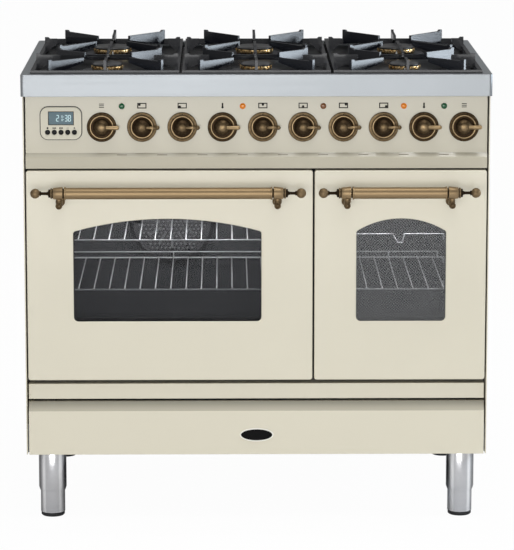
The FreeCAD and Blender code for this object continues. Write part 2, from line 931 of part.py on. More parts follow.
def door_panel(door, window):
    z = (door_z, door_top)
    tray = rounded_slab(door, (face, face + tray_depth), z, door_corner)
    front_edges = [e for e in tray.Edges if all(abs(v.Y - face) < 1e-6 for v in e.Vertexes)]
    tray = tray.makeFillet(door_edge_round, front_edges)
    inner_x = (door[0] + sheet, door[1] - sheet)
    inner_z = (z[0] + sheet, z[1] - sheet)
    hollow = rounded_slab(inner_x, (face + sheet, face + tray_depth + 1), inner_z, door_corner - sheet)
    tray = tray.cut(hollow).cut(window_shape(window, (face - 1, face + sheet + 1)))
    rim = []
    for edge in tray.Edges:
        on_face = all(abs(v.Y - face) < 1e-6 for v in edge.Vertexes)
        box = edge.BoundBox
        inside = box.XMin > door[0] + 3 * sheet and box.XMax < door[1] - 3 * sheet
        if on_face and inside and box.ZMin > door_z + 3 * sheet and box.ZMax < door_top - 3 * sheet:
            rim.append(edge)
    tray = tray.makeChamfer(window_bevel, rim)
    return tray.cut(hinge_slots(door))


def door_glass(window):
    # outer pane behind the front sheet, inner pane in front of the liner's back
    x = (window[0] - glass_margin, window[1] + glass_margin)
    low = door_z + window_sill
    z = (low - glass_margin, low + window_side_height + window_rise + glass_margin)
    outer = block(x, (face + sheet, face + sheet + glass_thickness), z)
    back = liner_back - sheet
    inner = block(x, (back - glass_thickness, back), z)
    return Part.makeCompound([outer, inner])


def door_liner(door, window):
    x = (door[0] + sheet, door[1] - sheet)
    z = (door_z + sheet, door_top - sheet)
    front = face + tray_depth - 3 * sheet
    back = liner_back
    shell = rounded_slab(x, (front, back), z, liner_corner)
    inner_x = (x[0] + sheet, x[1] - sheet)
    inner_z = (z[0] + sheet, z[1] - sheet)
    shell = shell.cut(rounded_slab(inner_x, (front - 1, back - sheet), inner_z, liner_corner - sheet))
    low = door_z + window_sill
    opening_z = (low, low + window_side_height + window_rise)
    shell = shell.cut(block(window, (back - sheet - 1, back + 1), opening_z))
    half = hinge_plate / 2 + swing_clearance
    pieces = [shell]
    for middle in hinge_x(door):
        for side in (-1, 1):
            near = middle + side * half
            cheek = sorted((near, near + side * hinge_block))
            cheek_y = (pivot_y - hinge_eye, back - sheet)
            pieces.append(block(cheek, cheek_y, (z[0] + sheet, pivot_z + hinge_eye)))
    liner = fused(pieces).cut(hinge_slots(door))
    bore = hinge_pin_radius + pin_clearance
    reach = half + hinge_block + 1
    for middle in hinge_x(door):
        liner = liner.cut(rod(bore, V(middle - reach, pivot_y, pivot_z), V(middle + reach, pivot_y, pivot_z)))
    return liner


def hinge_arms():
    arms = []
    for door in (left_door, right_door):
        for middle in hinge_x(door):
            x = (middle - hinge_plate / 2, middle + hinge_plate / 2)
            eye = rod(hinge_eye, V(x[0], pivot_y, pivot_z), V(x[1], pivot_y, pivot_z))
            plate = block(x, (pivot_y, frame_y), (pivot_z - hinge_eye, pivot_z + hinge_eye))
            reach = hinge_plate / 2 + swing_clearance + hinge_pin_reach
            pin = rod(hinge_pin_radius, V(middle - reach, pivot_y, pivot_z), V(middle + reach, pivot_y, pivot_z))
            arms.append(fused([eye, plate, pin]))
    return Part.makeCompound(arms)


def handle_middle(door, offset):
    return V((door[0] + door[1]) / 2 + offset, face - handle_reach, door_top - handle_drop)


def handle_bar(door, span, offset):
    middle = handle_middle(door, offset)
    reach = span / 2 - handle_bar_start
    return rod(handle_bar_radius, middle - RIGHT * reach, middle + RIGHT * reach)


def handle_fittings(door, span, offset):
    fittings = []
    for side in (-1, 1):
        centre = handle_middle(door, offset) + RIGHT * (side * span / 2)
        axis = RIGHT * side
        half = hub_half_length
        profile = [
            (-handle_bar_start, 0),
            (-handle_bar_start, hub_radius),
            (-half - hub_groove_width, hub_radius),
            (-half - hub_groove_width, collar_neck_radius),
            (-half, collar_neck_radius),
            (-half, hub_radius),
            (half + hub_cone_length, hub_outer_radius),
            (finial_flange_place, finial_flange_radius),
            (finial_flange_place, finial_neck_radius),
            (ball_place, finial_neck_radius),
            (ball_place, 0),
        ]
        hub = turned(profile, centre, axis)
        ball = Part.makeSphere(ball_radius, centre + axis * ball_place)
        # the hub hangs its arm on a post that stands on the door with a round foot
        post_middle = centre - UP * post_drop
        post_end = V(centre.x, face, post_middle.z)
        arm = rod(arm_radius, centre, post_middle)
        post = rod(post_radius, post_middle - BACK * post_front, post_end)
        foot = rod(post_foot_radius, post_end - BACK * post_foot_thickness, post_end)
        fittings.append(fused([hub, ball, arm, post, foot]))
    return Part.makeCompound(fittings)


# Controls
def knob(index):
    # one casting: spindle, dished flange, raised ring, dome and a side peg
    x = knob_x[index]
    seat = main_y - knob_gap
    centre = V(x, seat, knob_z)
    front = -BACK
    profile = [
        (-knob_gap - spindle_depth, 0),
        (-knob_gap - spindle_depth, spindle_radius),
        (0, spindle_radius),
        (0, flange_radius),
        (flange_edge, flange_radius),
        (flange_slope, ring_radius),
        (ring_height, dome_radius),
        (dome_height, dome_top_radius),
        (dome_height, 0),
    ]
    body = turned(profile, centre, front)
    peg_y = seat - (ring_height + dome_height) / 2
    root = V(x, peg_y, knob_z)
    if index in oven_knobs:
        peg = rod(peg_radius_oven, root, root + RIGHT * peg_reach)
    else:
        neck = peg_reach - peg_tip_length
        tip = [(neck, 0), (neck, peg_radius_gas), (neck + peg_tip_slope, peg_tip_radius)]
        tip += [(peg_reach, peg_tip_radius - peg_tip_chamfer)]
        peg = rod(peg_radius_gas, root, root + RIGHT * neck)
        peg = fused([peg, turned(tip + [(peg_reach, 0)], root, RIGHT)])
    return fused([body, peg])


def gas_taps():
    bodies = []
    for i in gas_knobs:
        x = (knob_x[i] - tap_width / 2, knob_x[i] + tap_width / 2)
        body = block(x, (tap_y, tap_back), (knob_z - tap_drop, knob_z + tap_top))
        end = main_y + spindle_depth + 1
        bore = rod(spindle_radius + pin_clearance, V(knob_x[i], tap_y - 1, knob_z), V(knob_x[i], end, knob_z))
        bodies.append(body.cut(bore))
    return Part.makeCompound(bodies)


def oven_switches():
    bodies = []
    for i in oven_knobs:
        x = (knob_x[i] - switch_width / 2, knob_x[i] + switch_width / 2)
        z = (knob_z - switch_height / 2, knob_z + switch_height / 2)
        body = block(x, (main_y + sheet, main_y + sheet + switch_length), z)
        end = main_y + spindle_depth + 1
        bore = rod(spindle_radius + pin_clearance, V(knob_x[i], main_y, knob_z), V(knob_x[i], end, knob_z))
        bodies.append(body.cut(bore))
    return Part.makeCompound(bodies)


def supply_x():
    return inner_half - supply_inset


def gas_pipes():
    # square manifold behind the taps, supply pipe to the rear stub, and a tube to each burner
    half = manifold_section / 2
    start = knob_x[gas_knobs[0]] - manifold_overrun
    y = (tap_back, tap_back + manifold_section)
    z = (manifold_z - half, manifold_z + half)
    manifold = block((start, supply_x() + half), y, z)
    rear = back_y
    supply = rod(supply_radius, V(supply_x(), y[1], manifold_z), V(supply_x(), rear, manifold_z))
    stub = rod(inlet_radius, V(supply_x(), rear, manifold_z), V(supply_x(), rear + inlet_length, manifold_z))
    pieces = [fused([manifold, supply, stub])]
    for x, y, radius, feed_z, knob_index in burner_places():
        tube = rod(feed_radius, V(knob_x[knob_index], tap_back, feed_z), V(x, y, feed_z))
        tube = tube.cut(injector_block(x, y, feed_z))
        tap_x = (knob_x[knob_index] - tap_width, knob_x[knob_index] + tap_width)
        tube = tube.cut(block(tap_x, (tap_y, tap_back), (manifold_z, feed_z + tap_top)))
        pieces.append(tube)
    return Part.makeCompound(pieces)


# Clock and pilot lights
def clock_body(grow):
    half_x = clock_width / 2 - clock_body_margin + grow
    half_z = clock_height / 2 - clock_body_margin + grow
    return (clock_x - half_x, clock_x + half_x), (clock_z - half_z, clock_z + half_z)


def button_places():
    middle = (button_count - 1) / 2
    return [clock_x + (i - middle) * button_pitch for i in range(button_count)]


def display_box():
    z = clock_z + display_rise
    x = (clock_x - display_width / 2, clock_x + display_width / 2)
    front = main_y - bezel_proud + display_recess
    return x, (front, front + display_thickness), (z - display_height / 2, z + display_height / 2)


def clock_bezel():
    x = (clock_x - clock_width / 2, clock_x + clock_width / 2)
    z = (clock_z - clock_height / 2, clock_z + clock_height / 2)
    plate = rounded_slab(x, (main_y - bezel_proud, main_y), z, clock_corner)
    body_x, body_z = clock_body(0)
    body = block(body_x, (main_y, main_y + clock_body_depth), body_z)
    display_x, display_y, display_z = display_box()
    cuts = [block(display_x, (main_y - bezel_proud - 1, display_y[1]), display_z)]
    button_z = clock_z - button_drop
    end = main_y - bezel_proud + button_depth + button_travel_room
    for place in button_places():
        start = V(place, main_y - bezel_proud - 1, button_z)
        cuts.append(rod(button_radius + button_clearance, start, V(place, end, button_z)))
    return fused([plate, body]).cut(Part.makeCompound(cuts))


def clock_display():
    x, y, z = display_box()
    return block(x, y, z)


def clock_button(index):
    x = button_places()[index]
    z = clock_z - button_drop
    front = main_y - bezel_proud - button_proud
    return rod(button_radius, V(x, front, z), V(x, front + button_proud + button_depth, z))


def pilot_x():
    # midway between a knob and the next, one for each oven knob and one for the spark
    return [knob_x[knob_names.index(name)] + knob_pitch / 2 for name in pilots_after]


def pilot_lights():
    lights = []
    for x in pilot_x():
        profile = [
            (-pilot_depth, 0),
            (-pilot_depth, pilot_body_radius),
            (0, pilot_body_radius),
            (0, pilot_radius),
            (pilot_proud / 2, pilot_radius),
            (pilot_proud, pilot_radius / 2),
            (pilot_proud, 0),
        ]
        lights.append(turned(profile, V(x, main_y, pilot_z), -BACK))
    return Part.makeCompound(lights)


# Drawer
def drawer_z():
    return base_z + drawer_box_lift


def drawer_front():
    z = (base_z, drawer_top)
    depth = drawer_front_depth
    slope_z = z[1] - drawer_slope_drop
    outer = [(face, z[0]), (face, slope_z), (face + drawer_slope_depth, z[1])]
    outer += [(face + depth, z[1]), (face + depth, z[0])]
    body = section(outer, (-front_half, front_half))
    low = z[0] + sheet
    inner = [(face + sheet, low), (face + sheet, slope_z - sheet / 2)]
    inner += [(face + drawer_slope_depth + sheet / 2, z[1] - sheet)]
    inner += [(face + depth + 1, z[1] - sheet), (face + depth + 1, low)]
    return body.cut(section(inner, (-front_half + sheet, front_half - sheet)))


def drawer_box():
    half = front_half - drawer_side_inset
    y = (face + drawer_front_depth, face + drawer_front_depth + drawer_box_depth)
    z = (drawer_z(), drawer_top - drawer_box_drop)
    wall = drawer_wall
    tray = block((-half, half), y, z)
    inside = block((-half + wall, half - wall), (y[0] + wall, y[1] - wall), (z[0] + wall, z[1] + 1))
    pieces = [tray.cut(inside)]
    glide_z = (z[0] + glide_rise, z[0] + glide_rise + glide_height)
    glide_y = (y[0] + glide_inset, y[1] - glide_inset)
    for side in (-1, 1):
        glide_x = sorted((side * half, side * (half + glide_width)))
        pieces.append(block(glide_x, glide_y, glide_z))
    return fused(pieces)


# Legs
def leg_sleeves():
    sleeves = []
    low = base_z - sleeve_length - sleeve_taper
    bore = sleeve_radius - sleeve_wall
    profile = [
        (base_z, 0),
        (base_z, sleeve_radius),
        (base_z - sleeve_length, sleeve_radius),
        (low, bore + 0.8),
        (low, bore),
        (base_z - sleeve_top, bore),
        (base_z - sleeve_top, 0),
    ]
    for centre in leg_centres():
        sleeves.append(turned(profile, centre, UP))
    return Part.makeCompound(sleeves)


def leg_feet():
    feet = []
    radius = sleeve_radius - sleeve_wall - foot_clearance
    pad = radius - foot_pad_inset
    profile = [
        (base_z - sleeve_top, 0),
        (base_z - sleeve_top, radius),
        (foot_pad_height, radius),
        (foot_pad_height, pad),
        (foot_pad_chamfer, pad),
        (0, pad - foot_pad_chamfer),
        (0, 0),
    ]
    for centre in leg_centres():
        feet.append(turned(profile, centre, UP))
    return Part.makeCompound(feet)


left_window = window_x(left_door, window_left_width, window_left_offset)
right_window = window_x(right_door, window_right_width, window_right_offset)

nodes = {
    "worktop_frame": worktop_frame(),
    "hob_plate": hob_plate(),
    "burner_cups": burner_cups(),
    "flame_rings": flame_rings(),
    "burner_caps": burner_caps(),
    "pan_support_left": pan_support(grate_x[0]),
    "pan_support_middle": pan_support(grate_x[1]),
    "pan_support_right": pan_support(grate_x[2]),
    "side_panel_left": side_panel(-1),
    "side_panel_right": side_panel(1),
    "back_panel": back_panel(),
    "base_frame": base_frame(),
    "front_frame": front_frame(),
    "lower_rail": lower_rail(),
    "control_panel": control_panel(),
    "oven_cavity_left": oven_cavity_left(),
    "oven_cavity_right": oven_cavity(right_cavity),
    "door_seals": door_seals(),
    "rack_supports": rack_supports(),
    "oven_racks": oven_racks(),
    "fan_cover": fan_cover(),
    "fan_rotor": fan_rotor(),
    "fan_motor": fan_motor(),
    "heating_elements": heating_elements(),
    "hinge_arms": hinge_arms(),
    "door_left_panel": door_panel(left_door, left_window),
    "door_left_glass": door_glass(left_window),
    "door_left_liner": door_liner(left_door, left_window),
    "door_left_handle_bar": handle_bar(left_door, handle_left_span, handle_left_offset),
    "door_left_handle_fittings": handle_fittings(left_door, handle_left_span, handle_left_offset),
    "door_right_panel": door_panel(right_door, right_window),
    "door_right_glass": door_glass(right_window),
    "door_right_liner": door_liner(right_door, right_window),
    "door_right_handle_bar": handle_bar(right_door, handle_right_span, handle_right_offset),
    "door_right_handle_fittings": handle_fittings(right_door, handle_right_span, handle_right_offset),
    "gas_taps": gas_taps(),
    "oven_switches": oven_switches(),
    "gas_pipes": gas_pipes(),
    "clock_bezel": clock_bezel(),
    "clock_display": clock_display(),
    "pilot_lights": pilot_lights(),
    "drawer_front": drawer_front(),
    "drawer_box": drawer_box(),
    "leg_sleeves": leg_sleeves(),
    "leg_feet": leg_feet(),
}
for number, name in enumerate(knob_names):
    nodes[name] = knob(number)
for number in range(button_count):
    nodes["clock_button_" + str(number + 1)] = clock_button(number)

os.makedirs("parts", exist_ok=True)
for name, shape in nodes.items():
    shape.exportStep("parts/" + name + ".step")
    print(name, "solids", len(shape.Solids), "valid", shape.isValid())
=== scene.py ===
import json
import math
import bmesh
import bpy
from mathutils import Matrix, Vector

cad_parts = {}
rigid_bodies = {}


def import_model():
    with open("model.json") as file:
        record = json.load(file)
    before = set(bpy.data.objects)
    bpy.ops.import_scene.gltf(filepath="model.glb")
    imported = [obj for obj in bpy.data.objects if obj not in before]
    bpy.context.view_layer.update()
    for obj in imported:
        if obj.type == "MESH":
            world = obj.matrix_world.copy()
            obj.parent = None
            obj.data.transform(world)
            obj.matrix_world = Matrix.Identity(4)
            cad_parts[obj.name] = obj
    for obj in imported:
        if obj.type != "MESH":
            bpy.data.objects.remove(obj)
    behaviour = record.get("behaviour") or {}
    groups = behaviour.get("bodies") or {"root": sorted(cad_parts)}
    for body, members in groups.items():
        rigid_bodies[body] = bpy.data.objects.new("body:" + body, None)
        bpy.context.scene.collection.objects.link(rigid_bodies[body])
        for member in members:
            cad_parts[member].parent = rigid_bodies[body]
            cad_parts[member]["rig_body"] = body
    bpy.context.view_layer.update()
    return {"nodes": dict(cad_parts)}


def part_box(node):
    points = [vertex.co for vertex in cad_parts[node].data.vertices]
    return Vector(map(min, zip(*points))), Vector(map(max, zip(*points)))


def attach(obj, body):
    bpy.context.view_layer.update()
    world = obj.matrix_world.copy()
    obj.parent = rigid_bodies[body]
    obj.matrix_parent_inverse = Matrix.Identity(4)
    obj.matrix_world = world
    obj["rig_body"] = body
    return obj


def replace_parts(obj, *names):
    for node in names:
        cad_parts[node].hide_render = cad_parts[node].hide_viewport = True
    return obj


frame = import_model()
print("frame loaded,", len(frame["nodes"]), "nodes")

mm = 0.001
right, back, up = Vector((1, 0, 0)), Vector((0, 1, 0)), Vector((0, 0, 1))


class Wire:
    # a socket that can stand in a sum: each operator adds its Math node
    def __init__(self, finish, socket):
        self.finish, self.socket = finish, socket

    def sum(self, operation, *terms):
        return self.finish.add("ShaderNodeMath", {"operation": operation}, dict(enumerate(terms)))

    def __add__(self, other):
        return self.sum("ADD", self, other)

    def __radd__(self, other):
        return self.sum("ADD", other, self)

    def __sub__(self, other):
        return self.sum("SUBTRACT", self, other)

    def __rsub__(self, other):
        return self.sum("SUBTRACT", other, self)

    def __mul__(self, other):
        return self.sum("MULTIPLY", self, other)

    def __rmul__(self, other):
        return self.sum("MULTIPLY", other, self)

    def __lt__(self, other):
        return self.sum("LESS_THAN", self, other)

    def __gt__(self, other):
        return self.sum("GREATER_THAN", self, other)

    def sine(self):
        return self.sum("SINE", self)


class Finish:
    # one material, or the world, with the nodes that feed it
    def __init__(self, name, kind="materials"):
        self.material = getattr(bpy.data, kind).new(name)
        self.material.use_nodes = True
        self.tree = self.material.node_tree
        self.shader = self.tree.nodes.get("Principled BSDF")

    def put(self, socket, value):
        if isinstance(value, Wire):
            self.tree.links.new(value.socket, socket)
        else:
            socket.default_value = value

    def add(self, kind, settings=None, inputs=None, out=0):
        node = self.tree.nodes.new(kind)
        for name, value in (settings or {}).items():
            setattr(node, name, value)
        for name, value in (inputs or {}).items():
            self.put(node.inputs[name], value)
        return Wire(self, node.outputs[out])

    def shade(self, values):
        for name, value in values.items():
            self.put(self.shader.inputs[name], value)
        return self

    def place(self, stretch=(1, 1, 1)):
        spot = self.add("ShaderNodeTexCoord", out="Object")
        return self.add("ShaderNodeMapping", {}, {"Vector": spot, "Scale": stretch})

    def along(self, axis):
        return self.add("ShaderNodeSeparateXYZ", {}, {"Vector": self.place()}, out=axis)

    def grain(self, scale, stretch=(1, 1, 1), detail=3):
        spot = self.place(stretch)
        return self.add("ShaderNodeTexNoise", {}, {"Vector": spot, "Scale": scale, "Detail": detail})

    def spread(self, value, low, high):  # a smooth step from 0 at low to 1 at high
        smooth = {"interpolation_type": "SMOOTHSTEP"}
        return self.add("ShaderNodeMapRange", smooth, {0: value, 1: low, 2: high})

    def blend(self, amount, first, second):  # 6, 7 and out 2 are the Mix node's colour sockets
        return self.add("ShaderNodeMix", {"data_type": "RGBA"}, {0: amount, 6: first, 7: second}, out=2)

    def bump(self, height, depth, strength=0.5, normal=None):
        inputs = {"Height": height, "Distance": depth, "Strength": strength}
        if normal:
            inputs["Normal"] = normal
        return self.add("ShaderNodeBump", {}, inputs)


def tint(red, green, blue):  # a screen colour, 0 to 255, as the shader's linear one
    def linear(part):
        part /= 255
        return part / 12.92 if part < 0.04045 else ((part + 0.055) / 1.055) ** 2.4
    return (linear(red), linear(green), linear(blue), 1)


def darker(shade, share):
    return tuple(part * share for part in shade[:3]) + (1,)


# Finishes: colours are screen colours, depths are in mm
enamelLook = {
    "door": (222, 216, 196), "panel": (192, 186, 166), "cloud": 9, "mottle": 0.975, "skin": 240,
    "skinDepth": 0.02, "roughness": 0.3, "skinRough": 0.06, "coat": 0.35, "coatRough": 0.12,
}
# the ShadeKeeps values are painted shade: the share of brightness each sloping fold keeps
foldLook = {"stepTop": 29.5, "stepTall": 7.0, "stepKeeps": 0.68, "drawerTall": 17.5, "drawerKeeps": 0.42}
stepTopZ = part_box("control_panel")[0].z + foldLook["stepTop"] * mm
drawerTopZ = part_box("drawer_front")[1].z


def enamel(name, shade, top=0.0, tall=0.0, shadeKeeps=1.0):
    # painted shade: a sloping fold that ends at the height top keeps only a share of the colour's brightness,
    # for the shadow of the part above it
    e = enamelLook
    coat = Finish(name)
    mottle = coat.grain(e["cloud"], detail=2)
    skin = coat.grain(e["skin"], detail=2)
    paint = coat.blend(mottle, darker(tint(*shade), e["mottle"]), tint(*shade))
    if top:
        z = coat.along("Z")
        foot = top - tall * mm
        paintedFoldShade = (z > foot) * (z < top) * (0.5 + 0.5 * coat.spread(z, foot, top))
        paint = coat.blend(paintedFoldShade, paint, darker(tint(*shade), shadeKeeps))
    return coat.shade({
        "Base Color": paint,
        "Roughness": e["roughness"] + e["skinRough"] * skin,
        "Coat Weight": e["coat"],
        "Coat Roughness": e["coatRough"],
        "Normal": coat.bump(skin, e["skinDepth"] * mm),
    })


bandLook = {
    "steel": (158, 162, 165), "shadow": 0.93, "brushing": (3, 900, 900), "brushDepth": 0.02, "cloud": 6,
    "metallic": 0.9, "roughness": 0.36, "brushRough": 0.12, "cloudRough": 0.05,
}


def bandSteel():
    # sheet brushed along its length
    b = bandLook
    steel = Finish("bandSteel")
    lines = steel.grain(1, b["brushing"], detail=4)
    cloud = steel.grain(b["cloud"], detail=2)
    return steel.shade({
        "Base Color": steel.blend(lines, darker(tint(*b["steel"]), b["shadow"]), tint(*b["steel"])),
        "Metallic": b["metallic"],
        "Roughness": b["roughness"] + b["brushRough"] * lines + b["cloudRough"] * cloud,
        "Normal": steel.bump(lines, b["brushDepth"] * mm),
    })


brassLook = {
    "bright": (246, 216, 164), "dark": (176, 138, 84), "patina": 240, "patinaEdges": (0.35, 0.7),
    "roughness": 0.2, "patinaRough": 0.14, "grain": 900, "grainDepth": 0.015, "grainStrength": 0.4,
}


def flameBrass():
    b = brassLook
    metal = Finish("flameBrass")
    cloud = metal.grain(b["patina"], detail=5)
    worn = metal.spread(cloud, *b["patinaEdges"])
    fine = metal.grain(b["grain"], detail=2)
    return metal.shade({
        "Base Color": metal.blend(worn, tint(*b["dark"]), tint(*b["bright"])),
        "Metallic": 1.0,
        "Roughness": b["roughness"] + b["patinaRough"] * cloud,
        "Normal": metal.bump(fine, b["grainDepth"] * mm, b["grainStrength"]),
    })


bronzeLook = {
    "cloud": 220, "scatter": 0.35, "wearEdges": (0.1, 0.9), "dullRough": 0.2, "cloudRough": 0.08,
    "castDepth": 0.03, "castStrength": 0.35,
}


def polishedByUse(name, bright, dark, roughness):  # the mesh's own polish value lightens what hands rub
    b = bronzeLook
    metal = Finish(name)
    cloud = metal.grain(b["cloud"], detail=4)
    polish = metal.add("ShaderNodeAttribute", {"attribute_name": "polish"}, out="Fac")
    worn = metal.spread(polish + b["scatter"] * (cloud - 0.5), *b["wearEdges"])
    return metal.shade({
        "Base Color": metal.blend(worn, tint(*dark), tint(*bright)),
        "Metallic": 1.0,
        "Roughness": roughness + b["dullRough"] * (1 - worn) + b["cloudRough"] * cloud,
        "Normal": metal.bump(cloud, b["castDepth"] * mm, b["castStrength"]),
    })


castLook = {"lumps": 160, "haze": 14, "shadow": 0.7, "hazeRough": 0.12, "coatRough": 0.1}


def castEnamel(name, shade, roughness, depth, coat=0.5, draft=0.0, shine=0.5):
    # draft leans the upright sides of a casting a little, the way they leave the mould
    cast = Finish(name)
    lumps = cast.grain(castLook["lumps"], detail=4)
    haze = cast.grain(castLook["haze"])
    normal = cast.bump(lumps, depth * mm)
    if draft:
        normal = cast.bump(cast.along("Z") * -1.0, draft, 1.0, normal)
    return cast.shade({
        "Base Color": cast.blend(haze, tint(*shade), darker(tint(*shade), castLook["shadow"])),
        "Roughness": roughness + castLook["hazeRough"] * haze,
        "Coat Weight": coat,
        "Coat Roughness": castLook["coatRough"],
        "Specular IOR Level": shine,
        "Normal": normal,
    })


plainLook = {"cloudRough": 0.1}


def plain(name, shade, roughness, metallic=0.0, mottle=0.85, scale=40, shine=0.5):
    stuff = Finish(name)
    cloud = stuff.grain(scale)
    return stuff.shade({
        "Base Color": stuff.blend(cloud, darker(tint(*shade), mottle), tint(*shade)),
        "Metallic": metallic,
        "Roughness": roughness + plainLook["cloudRough"] * cloud,
        "Specular IOR Level": shine,
    })


ovenLook = {"dark": (46, 47, 50), "pale": (62, 63, 66), "haze": 7, "roughness": 0.2, "hazeRough": 0.1}


def ovenEnamel():
    o = ovenLook
    coat = Finish("ovenEnamel")
    haze = coat.grain(o["haze"])
    return coat.shade({
        "Base Color": coat.blend(haze, tint(*o["dark"]), tint(*o["pale"])),
        "Roughness": o["roughness"] + o["hazeRough"] * haze,
    })


glassLook = {
    "clearLeft": 0.12, "clearRight": 0.14, "dark": (42, 43, 45), "pale": (50, 51, 53), "smear": 5,
    "smearCover": 0.05, "roughness": 0.03, "smearRough": 0.03, "shine": 0.6, "paneDepth": 8.0,
    "meshPitch": 2.9, "meshCut": 0.1, "veil": (84, 85, 86), "dot": (132, 133, 134), "veilCover": 0.08,
    "dotCover": 0.2,
}


def doorGlass(name, clear, meshSide=0.0):
    # tinted pane; the narrow oven's outer pane carries a printed dot mesh
    g = glassLook
    pane = Finish(name)
    smear = pane.grain(g["smear"], detail=2)
    shade = pane.blend(smear, tint(*g["dark"]), tint(*g["pale"]))
    alpha = clear + g["smearCover"] * smear
    if meshSide:
        turns = math.pi / (g["meshPitch"] * mm)
        dots = (pane.along("X") * turns).sine() * (pane.along("Z") * turns).sine() > g["meshCut"]
        front = pane.along("Y") < meshSide
        dotted = dots * front
        shade = pane.blend(dotted, pane.blend(front, shade, tint(*g["veil"])), tint(*g["dot"]))
        alpha = alpha + g["veilCover"] * front + g["dotCover"] * dotted
    return pane.shade({
        "Base Color": shade,
        "Roughness": g["roughness"] + g["smearRough"] * smear,
        "Alpha": alpha,
        "Specular IOR Level": g["shine"],
    })


# paintedGlint values place the painted highlight bands; edge, outerShadow and shadow place the painted shade
# at a leg's sides
legLook = {
    "radius": 27.0, "padTop": 8.1, "brushing": (6, 6, 900), "dull": (196, 196, 198),
    "bright": (220, 220, 221), "shadow": (48, 48, 50), "pad": (26, 26, 28), "bandStart": (0.18, 0.3),
    "bandEnd": (0.42, 0.56), "edge": (0.5, 0.8), "outerShadow": 0.7, "metallic": 0.95, "padRough": 0.5,
    "tubeRough": 0.3, "brushRough": 0.1, "brushDepth": 0.02,
}


def legSteel():
    # the tube is brushed round; the pad under it is black plastic
    g = legLook
    radius = g["radius"] * mm
    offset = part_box("leg_sleeves")[1].x - radius
    steel = Finish("legSteel")
    lines = steel.grain(1, g["brushing"], detail=4)
    tube = steel.along("Z") > g["padTop"] * mm
    # painted highlight bands and painted shade at the edges stand in for the floor's reflection, the inner
    # edge darker; u runs from -1 to 1 across a leg, outwards
    x = steel.along("X")
    u = (x * x - offset ** 2) * (0.5 / offset / radius)
    bands = steel.spread(u * u, *g["bandStart"]) * (1 - steel.spread(u * u, *g["bandEnd"]))
    dark = steel.spread(u * u, *g["edge"]) * (g["outerShadow"] + (1 - g["outerShadow"]) * (u < 0))
    bright = steel.blend(lines, tint(*g["dull"]), tint(*g["bright"]))
    bright = steel.blend(dark, steel.blend(bands, bright, (1, 1, 1, 1)), tint(*g["shadow"]))
    return steel.shade({
        "Base Color": steel.blend(tube, tint(*g["pad"]), bright),
        "Metallic": g["metallic"] * tube,
        "Roughness": g["padRough"] - g["tubeRough"] * tube + g["brushRough"] * lines,
        "Normal": steel.bump(lines, g["brushDepth"] * mm),
    })


lensLook = {"ribs": 300, "valley": 0.8, "roughness": 0.15, "ribRough": 0.1, "coat": 0.6}


def lensGlow(name, shade, glow):
    lens = Finish(name)
    ribs = lens.grain(lensLook["ribs"], detail=1)
    return lens.shade({
        "Base Color": lens.blend(ribs, darker(tint(*shade), lensLook["valley"]), tint(*shade)),
        "Roughness": lensLook["roughness"] + lensLook["ribRough"] * ribs,
        "Coat Weight": lensLook["coat"],
        "Emission Color": tint(*shade),
        "Emission Strength": glow,
    })


finishes = {
    "cream_enamel": enamel("creamEnamel", enamelLook["door"]),
    # the panel's sloping step carries painted shade
    "panel_enamel": enamel(
        "panelEnamel", enamelLook["panel"], stepTopZ, foldLook["stepTall"], foldLook["stepKeeps"]),
    "brushed_steel": bandSteel(),
    "leg_steel": legSteel(),
    "black_enamel": castEnamel("hobEnamel", (12, 13, 16), 0.22, depth=0.02, coat=0.0, shine=0.12),
    "cap_enamel": castEnamel("capEnamel", (22, 22, 24), 0.3, depth=0.05),
    "burner_alloy": plain("burnerAlloy", (62, 63, 68), 0.3, metallic=0.7),
    "burner_brass": flameBrass(),
    "cast_iron": castEnamel("supportEnamel", (13, 16, 25), 0.16, depth=0.05, coat=0.4, draft=0.17),
    "antique_brass": polishedByUse("antiqueBrass", (160, 137, 104), (52, 42, 30), 0.46),
    "knob_bronze": polishedByUse("knobBronze", (168, 144, 108), (60, 47, 33), 0.26),
    "galvanised_sheet": plain("galvanisedSheet", (176, 180, 182), 0.42, metallic=0.85, scale=70),
    "dark_frame": plain("frameEnamel", (44, 44, 46), 0.45),
    "oven_enamel": ovenEnamel(),
    "liner_enamel": plain("linerEnamel", (38, 38, 41), 0.3),
    "oven_seal": plain("glassCordSeal", (92, 90, 86), 0.9, scale=900),
    "chrome_wire": plain("chromeWire", (190, 192, 195), 0.38, metallic=0.3, mottle=0.95),
    "fan_steel": plain("fanSteel", (150, 151, 154), 0.32, metallic=0.9),
    "element_steel": plain("elementSteel", (96, 90, 86), 0.42, metallic=0.8, scale=120),
    "hinge_steel": plain("hingeSteel", (160, 162, 165), 0.35, metallic=0.95),
    "tap_alloy": plain("tapAlloy", (186, 178, 160), 0.4, metallic=0.9),
    "switch_plastic": plain("switchPlastic", (58, 58, 60), 0.55),
    "pipe_steel": plain("pipeSteel", (148, 150, 152), 0.4, metallic=0.9, scale=90),
    "bezel_plastic": plain("bezelPlastic", (206, 201, 182), 0.4, mottle=0.97),
    "display_glass": plain("displayGlass", (84, 108, 117), 0.15, mottle=0.94, scale=12, shine=0.2),
    "pilot_lens": plain("pilotLens", (120, 78, 44), 0.2),
    "button_plastic": plain("buttonPlastic", (12, 12, 13), 0.35, shine=0.15),
    "door_glass": doorGlass("doorGlassWide", glassLook["clearLeft"]),
}
# four more, each for a single piece
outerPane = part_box("door_right_glass")[0].y + glassLook["paneDepth"] * mm
meshGlass = doorGlass("doorGlassNarrow", glassLook["clearRight"], outerPane)
# the drawer's sloping top carries painted shade, darkest at its top, for the lower rail's shadow
drawerEnamel = enamel(
    "drawerEnamel", enamelLook["door"], drawerTopZ, foldLook["drawerTall"], foldLook["drawerKeeps"])
coverEnamel = plain("coverEnamel", (62, 62, 65), 0.3, metallic=0.3)
